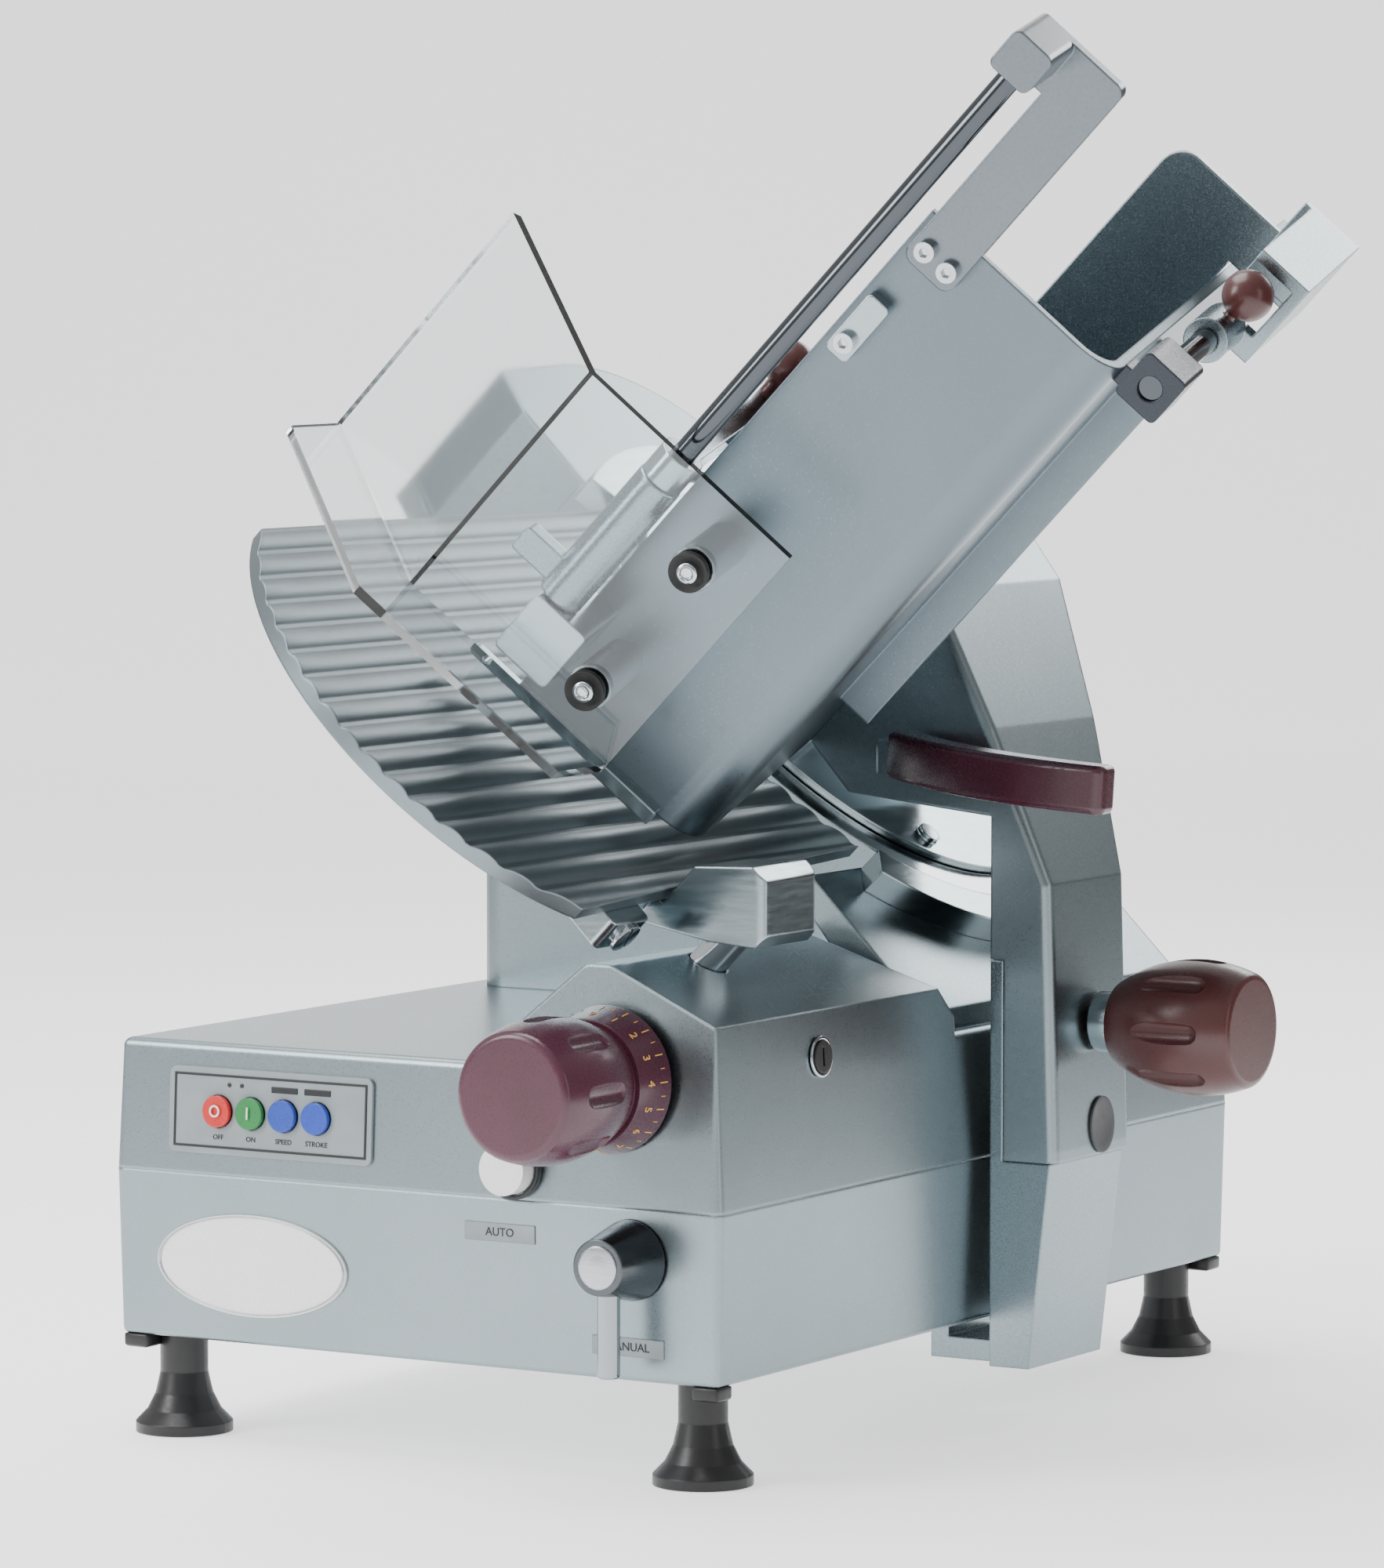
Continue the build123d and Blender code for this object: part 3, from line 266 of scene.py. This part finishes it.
def plasticFinish(name, slot, color, rough, grain=900, bump=0.08, coat=0.0, edge=0.001, cloud=0.12):
    material, shader = newFinish(name, slot, color, 0.0, rough)
    shader.inputs["Coat Weight"].default_value = coat
    shader.inputs["Coat Roughness"].default_value = 0.2
    fine = addNoise(material, objectCoords(material), grain, 3)
    broad = addNoise(material, objectCoords(material), 30, 3)
    tint(material, broad, scaled(color, 1 - cloud), scaled(color, 1 + cloud), shader.inputs["Base Color"])
    spread(material, fine, rough - 0.05, rough + 0.06, shader.inputs["Roughness"])
    relief(material, shader, fine, bump, 0.0002, edge)
    return material


castLook = {"color": (0.27, 0.325, 0.348), "rough": 0.30, "grain": 1300}
trayLook = {"color": (0.165, 0.205, 0.230), "rough": 0.33, "grain": 1100}
polishLook = {"color": (0.38, 0.445, 0.47), "rough": 0.19, "grain": 55}
knobLook = {"color": (0.068, 0.014, 0.013), "rough": 0.31}

metalFinish("satinCasting", "cast_satin", castLook["color"], castLook["rough"], castLook["grain"],
            bump=0.05, edge=0.0022, swing=0.04)
metalFinish("brushedTray", "cast_polished", trayLook["color"], trayLook["rough"], trayLook["grain"],
            bump=0.06)
metalFinish("polishedCasting", "cast_polished", polishLook["color"], polishLook["rough"],
            polishLook["grain"], (1, 1, 7), swing=0.05, bump=0.05)
metalFinish("gaugeCasting", "cast_satin", (0.21, 0.25, 0.268), 0.38, 1000, bump=0.1)
metalFinish("footCasting", "cast_polished", (0.26, 0.315, 0.34), 0.25, 900, bump=0.1)
metalFinish("darkFitting", "cast_polished", (0.17, 0.195, 0.215), 0.22, 600, swing=0.05)
metalFinish("clampBlack", "cast_polished", (0.05, 0.055, 0.065), 0.28, 700, swing=0.05)
metalFinish("leverDark", "knob_plastic", (0.10, 0.11, 0.12), 0.24, 90, (1, 1, 14), swing=0.05)
metalFinish("bladeSteel", "blade_steel", (0.46, 0.50, 0.515), 0.15, 40, (1, 12, 1), swing=0.04, bump=0.03)
metalFinish("chromeRod", "chrome_rod", (0.55, 0.585, 0.61), 0.09, 500, swing=0.02, bump=0.02, edge=0.0005)
# guide and fence rods: the chrome base colour is darkened to near black, a painted dark reflection that
# stands in for dark surroundings mirrored in the rods
metalFinish("guideChromePaintedDarkReflection", "chrome_rod", (0.085, 0.095, 0.105), 0.10, 500, swing=0.03, bump=0.02, edge=0.0005)
metalFinish("leverChrome", "chrome_rod", (0.30, 0.33, 0.35), 0.12, 500, swing=0.03, bump=0.02, edge=0.0005)
metalFinish("turnedSteel", "plain_steel", (0.46, 0.48, 0.50), 0.24, 80, (1, 1, 20), swing=0.06, bump=0.06)
metalFinish("bronzeBush", "bronze", (0.60, 0.36, 0.15), 0.3, 400)
plasticFinish("knobBrown", "knob_plastic", knobLook["color"], knobLook["rough"], coat=0.25)
plasticFinish("dialPlum", "knob_plastic", (0.068, 0.014, 0.030), 0.29, coat=0.3)
plasticFinish("handleBrown", "handle_plastic", (0.055, 0.011, 0.022), 0.25, coat=0.35)
plasticFinish("panelGrey", "panel_film", (0.25, 0.285, 0.30), 0.42, 1500)
plasticFinish("panelDark", "panel_film", (0.012, 0.014, 0.016), 0.35, 900, edge=0.0003)
plasticFinish("badgeWhite", "badge_film", (0.90, 0.90, 0.90), 0.28, 400, cloud=0.02)
plasticFinish("keyRed", "red_plastic", (0.62, 0.02, 0.015), 0.3, coat=0.3)
plasticFinish("keyGreen", "green_plastic", (0.015, 0.20, 0.045), 0.3, coat=0.3)
plasticFinish("keyBlue", "blue_plastic", (0.015, 0.055, 0.42), 0.3, coat=0.3)
plasticFinish("keyBlueTwo", "grey_plastic", (0.015, 0.055, 0.40), 0.3, coat=0.3)
plasticFinish("footBlack", "foot_rubber", (0.010, 0.010, 0.011), 0.36, 500, bump=0.15)
plasticFinish("beltBlack", "belt_rubber", (0.012, 0.012, 0.012), 0.55, 700, bump=0.2)
plasticFinish("boardGreen", "board", (0.012, 0.10, 0.035), 0.4, 300)
plasticFinish("motorGrey", "motor_paint", (0.06, 0.065, 0.07), 0.45, 250, bump=0.2)
plasticFinish("stoneRed", "stone", (0.33, 0.16, 0.11), 0.85, 1200, bump=0.6)
plasticFinish("inkWhite", "badge_film", (0.85, 0.86, 0.86), 0.4, 400, edge=0.0001)
plasticFinish("inkGold", "badge_film", (0.75, 0.42, 0.10), 0.4, 400, edge=0.0001)


def clearFinish():
    material, shader = newFinish("clearAcrylic", "clear_plastic", (0.93, 0.97, 0.985), 0.0, 0.03, IOR=1.47)
    shader.inputs["Transmission Weight"].default_value = 1.0
    haze = addNoise(material, objectCoords(material), 14, 4)
    spread(material, haze, 0.015, 0.06, shader.inputs["Roughness"])


clearFinish()

partFinish = {
    "satinCasting": ["lower_shell", "upper_shell", "head_casting", "carriage_arm", "sharpener_cover"],
    "gaugeCasting": ["gauge_plate"],
    "brushedTray": ["tray"],
    "footCasting": ["carriage_foot", "fence_plate", "fence_bracket", "slider_block", "pusher_sleeve"],
    "polishedCasting": ["ring_guard", "blade_cover", "tray_lip", "rod_blocks", "gauge_arm", "pusher_plate",
                        "guard_standoffs"],
    "darkFitting": ["rod_bracket"],
    "clampBlack": ["fence_clamp"],
    "leverDark": ["lever_hub"],
    "bladeSteel": ["blade"],
    "chromeRod": ["slide_rod", "gauge_shaft", "carriage_screws"],
    "leverChrome": ["lever_bar"],
    # guide and fence rods get the chrome with the painted dark reflection
    "guideChromePaintedDarkReflection": ["guide_rod", "fence_rod"],
    "turnedSteel": ["bottom_plate", "blade_hub", "blade_bearings", "blade_pulley", "motor_pulley",
                    "thickness_cam", "drive_pulley", "idler_pulley"],
    "bronzeBush": ["gauge_bush"],
    "knobBrown": ["lock_knob", "pusher_knob", "fence_knob"],
    "dialPlum": ["thickness_knob"],
    "handleBrown": ["handle_bar"],
    "clearAcrylic": ["clear_guard"],
    "panelGrey": ["control_panel"],
    "badgeWhite": ["badge_plate", "switch_knob"],
    "keyRed": ["off_button"],
    "keyGreen": ["on_button"],
    "keyBlueTwo": ["speed_button"],
    "keyBlue": ["stroke_button"],
    "footBlack": ["feet", "side_lock"],
    "beltBlack": ["blade_belt", "stroke_belt"],
    "boardGreen": ["control_board"],
    "motorGrey": ["blade_motor", "stroke_motor"],
    "stoneRed": ["sharpening_stone", "truing_stone"],
}
for finish, names in partFinish.items():
    for name in names:
        mesh = frame["nodes"][name].data
        mesh.materials.clear()
        mesh.materials.append(finishes[finish])
print("slicer: finishes on", sum(len(n) for n in partFinish.values()), "parts")


# ---- front panel ----
def panelPlace():
    press = Vector(joints["off_press"]["axis"])
    out = -press
    return planeAt(boxMiddle("control_panel") + out * 0.0008, (1, 0, 0), out)


def makePanelFrame():
    look = {"line": 0.0012, "inset": 0.0030, "height": 0.0004, "tall": 0.0425, "edge": 0.00012}
    low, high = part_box("control_panel")
    wide = high[0] - low[0] - 2 * look["inset"]
    tall = look["tall"] - 2 * look["inset"]
    obj = startBlock("panelFrame", wide, tall, look["height"], (0, 0, look["height"] / 2))
    pickFaces(obj, lambda f: abs(f.normal.z) > 0.9)
    bpy.ops.mesh.inset(thickness=look["line"])
    bpy.ops.mesh.delete(type="FACE")
    innerX = wide / 2 - look["line"]
    innerY = tall / 2 - look["line"]
    pickEdges(obj, lambda a, b: bothAt(a.x, b.x, innerX) and abs(a.y - b.y) > 0.01
              or bothAt(a.y, b.y, innerY) and abs(a.x - b.x) > 0.01)
    bpy.ops.mesh.bridge_edge_loops()
    bpy.ops.object.mode_set(mode="OBJECT")
    roundEdges(obj, look["edge"], 1)
    finishPiece(obj, panelPlace(), "panelDark", "machine")


def keyMiddles():
    return [boxMiddle(n) for n in ("off_button", "on_button", "speed_button", "stroke_button")]


def makePanelMarks():
    look = {"bar": (0.0155, 0.0030), "rise": 0.0125, "drop": -0.0128, "size": 0.0036, "lamp": 0.0011,
            "lampSide": 0.006}
    place = panelPlace()
    inverse = place.inverted()
    bars = []
    letters = []
    for i, (middle, words) in enumerate(zip(keyMiddles(), ("OFF", "ON", "SPEED", "STROKE"))):
        spot = inverse @ middle
        if i > 1:
            bar = startBlock("keyBar", look["bar"][0], look["bar"][1], 0.0005, (spot.x, look["rise"], 0.0002))
            roundEdges(bar, 0.0002, 1)
        else:
            bar = startDrum("keyLamp", look["lamp"], 0.0006, 16)
            roundEdges(bar, 0.0003, 2)
            side = look["lampSide"] if i == 0 else -look["lampSide"]
            bar.matrix_world = Matrix.Translation((spot.x + side, look["rise"] + 0.0008, 0))
            bpy.ops.object.transform_apply(location=True, rotation=True, scale=True)
        bars.append(bar)
        below = Matrix.Translation((spot.x, look["drop"], 0.0001))
        letters.append(makeText("keyWord", words, look["size"], 0.0003, below))
    finishPiece(joinPieces("panelBars", bars), place, "panelDark", "machine")
    finishPiece(joinPieces("panelWords", letters), place, "panelDark", "machine")


def makeKeySigns():
    look = {"ring": 0.0030, "line": 0.0009, "top": 0.0038}
    place = panelPlace()
    for node, body, sign in (("off_button", "off_key", "O"), ("on_button", "on_key", "I")):
        spot = place.inverted() @ boxMiddle(node)
        if sign == "O":
            obj = startDrum("offSign", look["ring"], 0.0005, 32)
            pickFaces(obj, lambda f: abs(f.normal.z) > 0.9)
            bpy.ops.mesh.inset(thickness=look["line"])
            bpy.ops.mesh.bridge_edge_loops()
            bpy.ops.object.mode_set(mode="OBJECT")
            obj.data.name = "offSign"
        else:
            obj = startBlock("onSign", look["line"], look["ring"] * 2, 0.0005, (0, 0, 0.00025))
            roundEdges(obj, 0.0001, 1)
        shift = Matrix.Translation((spot.x, spot.y, look["top"]))
        finishPiece(obj, place @ shift, "inkWhite", body)


makePanelFrame()
makePanelMarks()
makeKeySigns()
print("slicer: front panel done")


# ---- thickness dial ----
def makeDial():
    look = {"numbers": 16, "step": 22.0, "size": 0.0065, "away": 0.0135, "tickAway": 0.005,
            "tick": (0.0006, 0.0050), "smallTick": (0.0004, 0.0028), "front": 0.031, "skirt": 0.0355,
            "cone": 0.021}
    centre = Vector(joints["thickness_turn"]["pos_m"])
    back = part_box("thickness_knob")[1][1] - centre.y
    slope = (look["skirt"] - look["front"]) / look["cone"]
    outward = (0, -slope, 1)
    marks = []
    for i in range(look["numbers"]):
        turn = Matrix.Rotation(radians(look["step"] * i), 4, "Y")
        radius = look["skirt"] - slope * look["away"] + 0.0001
        seat = planeAt((0, back - look["away"], radius), (1, 0, 0), outward)
        place = Matrix.Translation(centre) @ turn @ seat
        marks.append(makeText("dialNumber", str(i), look["size"], 0.0003, place))
        for half, size in enumerate((look["tick"], look["smallTick"])):
            tick = startBlock("dialTick", size[0], size[1], 0.0004)
            turn = Matrix.Rotation(radians(look["step"] * (i + half / 2)), 4, "Y")
            radius = look["skirt"] - slope * look["tickAway"]
            seat = planeAt((0, back - look["tickAway"], radius), (1, 0, 0), outward)
            tick.matrix_world = Matrix.Translation(centre) @ turn @ seat
            bpy.ops.object.transform_apply(location=True, rotation=True, scale=True)
            marks.append(tick)
    finishPiece(joinPieces("dialNumbers", marks), Matrix.Identity(4), "inkGold", "thickness_dial")


makeDial()


# ---- fasteners and small hardware ----
def makeGuardWashers():
    look = {"radius": 0.0098, "height": 0.0042, "dish": 0.0012, "dome": 0.0052}
    for i, a in enumerate((0.065, 0.146)):
        seat = trayPlace @ planeAt((a, -0.366, 0.073), (1, 0, 0), (0, -1, 0))
        cup = startDrum("guardCup" + str(i), look["radius"], look["height"], 40)
        pickFaces(cup, lambda f: f.normal.z > 0.9)
        bpy.ops.mesh.inset(thickness=0.0022)
        bpy.ops.transform.translate(value=(0, 0, -look["dish"]))
        bpy.ops.mesh.inset(thickness=0.0012)
        bpy.ops.transform.translate(value=(0, 0, -0.0006))
        bpy.ops.object.mode_set(mode="OBJECT")
        roundEdges(cup, 0.0005, 3, 30)
        finishPiece(cup, seat, "beltBlack", "tray_arm")
        dome = startDrum("guardBolt" + str(i), look["dome"], 0.0052, 32)
        pickFaces(dome, lambda f: f.normal.z > 0.9)
        bpy.ops.mesh.inset(thickness=0.0016)
        bpy.ops.transform.translate(value=(0, 0, 0.0008))
        bpy.ops.mesh.inset(thickness=0.0008)
        bpy.ops.transform.translate(value=(0, 0, -0.0016))
        bpy.ops.object.mode_set(mode="OBJECT")
        roundEdges(dome, 0.0004, 2, 30)
        finishPiece(dome, seat @ Matrix.Translation((0, 0, 0.0006)), "chromeRod", "tray_arm")


def makeSlottedScrew():
    look = {"radius": 0.0085, "height": 0.003, "slot": 0.0018}
    middle = headPlace @ Vector((-0.3462, -0.124, -0.0156))
    seat = planeAt(middle, (0, 1, 0), -upBlade)
    screw = startDrum("gaugeScrew", look["radius"], look["height"], 40)
    pickFaces(screw, lambda f: f.normal.z > 0.9)
    bpy.ops.mesh.inset(thickness=0.0015)
    bpy.ops.transform.translate(value=(0, 0, 0.0006))
    bpy.ops.object.mode_set(mode="OBJECT")
    slot = startBlock("screwSlot", look["slot"], look["radius"] * 2.4, 0.003, (0, 0, look["height"] + 0.0012))
    cut = screw.modifiers.new("slot", "BOOLEAN")
    cut.object = slot
    cut.operation = "DIFFERENCE"
    bpy.context.view_layer.objects.active = screw
    bpy.ops.object.modifier_apply(modifier=cut.name)
    bpy.data.objects.remove(slot)
    finishPiece(screw, seat @ Matrix.Rotation(radians(25), 4, "Z"), "chromeRod", "gauge")


def makeBumpers():
    look = {"size": (0.014, 0.014, 0.006), "inset": 0.010}
    low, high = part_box("lower_shell")
    for i, (sx, sy) in enumerate(((-1, -1), (1, 1), (-1, 1), (1, -1))):
        x = (high[0] if sx > 0 else low[0]) - sx * look["inset"]
        y = (high[1] if sy > 0 else low[1]) - sy * look["inset"]
        pad = startBlock("cornerPad" + str(i), *look["size"], (0, 0, 0))
        pickFaces(pad, lambda f: f.normal.z < -0.9)
        bpy.ops.mesh.inset(thickness=0.002)
        bpy.ops.transform.translate(value=(0, 0, -0.001))
        bpy.ops.object.mode_set(mode="OBJECT")
        roundEdges(pad, 0.001, 3)
        finishPiece(pad, Matrix.Translation((x, y, low[2] - look["size"][2] / 2)), "footBlack", "machine")


def makeRingPins():
    look = {"radius": 0.003, "length": 0.021}
    for i, (u, v) in enumerate(((-0.095, -0.130), (-0.045, -0.155))):
        pin = startDrum("ringPin" + str(i), look["radius"], look["length"], 24)
        pickFaces(pin, lambda f: abs(f.normal.z) > 0.9)
        bpy.ops.mesh.inset(thickness=0.0006)
        bpy.ops.object.mode_set(mode="OBJECT")
        roundEdges(pin, 0.0004, 2, 30)
        finishPiece(pin, headPlace @ Matrix.Translation((u, v, -0.032)), "chromeRod", "machine")


def makeLabels():
    look = {"thick": 0.0005, "size": 0.0058}
    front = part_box("lower_shell")[0][1]
    out = Vector((0, -cos(radians(1.5)), -sin(radians(1.5))))
    labels = (("autoLabel", "AUTO", 0.052, 0.1165, 0.040), ("handLabel", "MANUAL", 0.1235, 0.0665, 0.040))
    for name, words, x, z, width in labels:
        y = front + (0.133 - z) * sin(radians(1.5))
        seat = planeAt((x, y, z), (1, 0, 0), out)
        plate = startBlock(name, width, 0.0090, look["thick"], (0, 0, look["thick"] / 2))
        pickFaces(plate, lambda f: f.normal.z > 0.9)
        bpy.ops.mesh.inset(thickness=0.0006)
        bpy.ops.transform.translate(value=(0, 0, -0.00015))
        bpy.ops.object.mode_set(mode="OBJECT")
        finishPiece(plate, seat, "panelGrey", "machine")
        text = makeText(name + "Words", words, look["size"], 0.0002, Matrix.Translation((0, 0, 0.0005)))
        finishPiece(text, seat, "panelDark", "machine")


def makeSwitchTrim():
    look = {"ring": 0.0155, "line": 0.0022}
    centre = boxMiddle("switch_knob")
    ring = startDrum("switchRing", look["ring"], 0.004, 48)
    pickFaces(ring, lambda f: abs(f.normal.z) > 0.9)
    bpy.ops.mesh.inset(thickness=look["line"])
    bpy.ops.mesh.bridge_edge_loops()
    bpy.ops.object.mode_set(mode="OBJECT")
    roundEdges(ring, 0.0006, 2, 30)
    finishPiece(ring, planeAt((centre.x, -0.2645, centre.z), (1, 0, 0), (0, -1, 0)), "panelDark", "machine")


def makeArmPlug():
    look = {"radius": 0.0125, "tall": 1.15, "height": 0.0015}
    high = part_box("carriage_arm")[1]
    plug = startDrum("armPlug", look["radius"], look["height"], 40)
    pickFaces(plug, lambda f: f.normal.z > 0.9)
    bpy.ops.mesh.inset(thickness=0.003)
    bpy.ops.transform.translate(value=(0, 0, -0.0006))
    bpy.ops.object.mode_set(mode="OBJECT")
    roundEdges(plug, 0.0004, 2, 30)
    seat = planeAt((high[0] - 0.0003, 0.038, 0.1475), (0, 1, 0), (1, 0, 0.03))
    finishPiece(plug, seat @ Matrix.Diagonal((1, look["tall"], 1, 1)), "motorGrey", "tray_arm")


def makeCollarRing(name, middle, along, inner, outer, length, finish, body):
    ring = startDrum(name, outer, length, 56)
    pickFaces(ring, lambda f: abs(f.normal.z) > 0.9)
    bpy.ops.mesh.inset(thickness=outer - inner)
    bpy.ops.mesh.bridge_edge_loops()
    bpy.ops.object.mode_set(mode="OBJECT")
    roundEdges(ring, min(0.0006, (outer - inner) / 4), 2, 30)
    side = (0, 1, 0) if abs(along[1]) < 0.9 else (1, 0, 0)
    finishPiece(ring, planeAt(middle, side, along), finish, body)


def makeCollars():
    look = {"lockInner": 0.0132, "lockOuter": 0.0152, "lockLength": 0.0115, "rosetteInner": 0.0082,
            "rosetteOuter": 0.0102}
    lock = Vector(joints["lock_turn"]["pos_m"])
    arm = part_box("carriage_arm")[1]
    makeCollarRing("lockCollar", Vector((arm[0] + 0.0009, lock.y, lock.z)), (1, 0, 0), look["lockInner"],
                   look["lockOuter"], look["lockLength"], "polishedCasting", "arm_lock")
    middle = boxMiddle("side_lock")
    lean = radians(3.0)
    makeCollarRing("lockRosette", Vector((middle.x - 0.0008, middle.y, middle.z)), (cos(lean), 0, sin(lean)),
                   look["rosetteInner"], look["rosetteOuter"], 0.0014, "chromeRod", "machine")


def makeLeverFace():
    look = {"radius": 0.0105, "height": 0.0009}
    lever = Vector(joints["lever_turn"]["pos_m"])
    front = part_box("lever_hub")[0][1]
    face = startDrum("leverFace", look["radius"], look["height"], 48)
    pickFaces(face, lambda f: f.normal.z > 0.9)
    bpy.ops.mesh.inset(thickness=0.0025)
    bpy.ops.transform.translate(value=(0, 0, -0.0004))
    bpy.ops.mesh.inset(thickness=0.0035)
    bpy.ops.transform.translate(value=(0, 0, 0.0003))
    bpy.ops.object.mode_set(mode="OBJECT")
    roundEdges(face, 0.0002, 2, 30)
    seat = planeAt((lever.x, front + 0.0003, lever.z), (1, 0, 0), (0, -1, 0))
    finishPiece(face, seat, "turnedSteel", "mode_lever")


def makeBadgeRim():
    look = {"line": 0.0012, "height": 0.0006, "inset": 0.0008}
    low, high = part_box("badge_plate")
    out = Vector((0, -cos(radians(1.5)), -sin(radians(1.5))))
    wide = (high[0] - low[0]) / 2 - look["inset"]
    tall = (high[2] - low[2]) / 2 - look["inset"]
    rim = startDrum("badgeRim", wide, look["height"], 72)
    pickFaces(rim, lambda f: abs(f.normal.z) > 0.9)
    bpy.ops.mesh.inset(thickness=look["line"])
    bpy.ops.mesh.bridge_edge_loops()
    bpy.ops.object.mode_set(mode="OBJECT")
    front = Vector(((low[0] + high[0]) / 2, low[1] + sin(radians(1.5)) * tall, (low[2] + high[2]) / 2))
    seat = planeAt(front - out * 0.0001, (1, 0, 0), out)
    finishPiece(rim, seat @ Matrix.Diagonal((1, tall / wide, 1, 1)), "turnedSteel", "machine")


makeGuardWashers()
makeSlottedScrew()
makeBumpers()
makeRingPins()
makeLabels()
makeSwitchTrim()
makeArmPlug()
makeCollars()
makeLeverFace()
makeBadgeRim()
print("slicer: small hardware done")


# ---- floor, light and camera ----
def plainFinish(name, color, rough):
    material = bpy.data.materials.new(name)
    material.use_nodes = True
    shader = material.node_tree.nodes["Principled BSDF"]
    shader.inputs["Roughness"].default_value = rough
    soft = addNoise(material, objectCoords(material), 1.5, 2)
    tint(material, soft, scaled(color, 0.985), color, shader.inputs["Base Color"])
    return material


def makeFloor():
    clearHands()
    bpy.ops.mesh.primitive_plane_add(size=14, location=(0, 0, 0))
    bpy.context.object.scale = (0.22, 1, 1)
    bpy.ops.object.transform_apply(location=True, rotation=True, scale=True)
    floor = nameIt("studioFloor")
    pickEdges(floor, lambda a, b: a.y > 6.9 and b.y > 6.9)
    bpy.ops.mesh.extrude_region_move(TRANSFORM_OT_translate={"value": (0, 0, 7)})
    bpy.ops.object.mode_set(mode="OBJECT")
    roundEdges(floor, 2.0, 12)
    bpy.ops.object.shade_smooth_by_angle(angle=radians(60))
    paper = plainFinish("studioPaper", (0.93, 0.93, 0.93), 0.85)
    shader = paper.node_tree.nodes["Principled BSDF"]
    shader.inputs["Emission Color"].default_value = (1, 1, 1, 1)
    shader.inputs["Emission Strength"].default_value = 1.0
    floor.data.materials.append(paper)
    floor.matrix_world = Matrix.Rotation(radians(31.13), 4, "Z") @ Matrix.Translation((0, 0, -0.0004))


def addLight(name, place, aim, size, power, color=(1, 1, 1)):
    clearHands()
    bpy.ops.object.light_add(type="AREA", location=place)
    light = bpy.context.object
    light.name = name
    light.data.shape = "RECTANGLE"
    light.data.size = size[0]
    light.data.size_y = size[1]
    light.data.energy = power
    light.data.color = color
    light.rotation_euler = (Vector(aim) - Vector(place)).to_track_quat("-Z", "Y").to_euler()


def makeWorld():
    world = bpy.context.scene.world or bpy.data.worlds.new("studio")
    bpy.context.scene.world = world
    world.use_nodes = True
    tree = world.node_tree
    background = tree.nodes["Background"]
    coords = tree.nodes.new("ShaderNodeTexCoord")
    ramp = tree.nodes.new("ShaderNodeValToRGB")
    ramp.color_ramp.elements[0].position = 0.0
    ramp.color_ramp.elements[0].color = (0.03, 0.03, 0.03, 1)
    ramp.color_ramp.elements[1].position = 1.0
    ramp.color_ramp.elements[1].color = (1.0, 1.0, 1.0, 1)
    aim = tree.nodes.new("ShaderNodeVectorMath")
    aim.operation = "DOT_PRODUCT"
    aim.inputs[1].default_value = Vector((-0.62, -0.35, 0.70)).normalized()
    lift = tree.nodes.new("ShaderNodeMapRange")
    lift.inputs["From Min"].default_value = -1.0
    lift.inputs["From Max"].default_value = 1.0
    tree.links.new(coords.outputs["Generated"], aim.inputs[0])
    tree.links.new(aim.outputs["Value"], lift.inputs["Value"])
    tree.links.new(lift.outputs["Result"], ramp.inputs["Fac"])
    tree.links.new(ramp.outputs["Color"], background.inputs["Color"])
    background.inputs["Strength"].default_value = 0.9


def makeCamera():
    clearHands()
    bpy.ops.object.camera_add(location=(1.86907, -3.09499, 0.58285))
    camera = bpy.context.object
    camera.name = "photoCamera"
    camera.rotation_euler = Euler((radians(90 - 4.26), 0, radians(31.13)))
    camera.data.sensor_fit = "VERTICAL"
    camera.data.sensor_height = 36
    camera.data.lens = 161.97
    camera.data.clip_end = 50
    bpy.context.scene.camera = camera


makeFloor()
makeWorld()
addLight("bigTop", (-0.5, -0.2, 2.3), (0, 0, 0.3), (1.8, 1.4), 50)
addLight("frontLeft", (-1.4, -2.2, 1.5), (0, 0, 0.3), (1.0, 1.6), 48)
addLight("frontRight", (2.2, -0.4, 0.7), (0.1, 0, 0.3), (0.5, 1.4), 4)
addLight("backEdge", (0.2, 2.2, 1.5), (0, 0, 0.35), (1.6, 0.8), 22)
makeCamera()
print("slicer: studio ready")
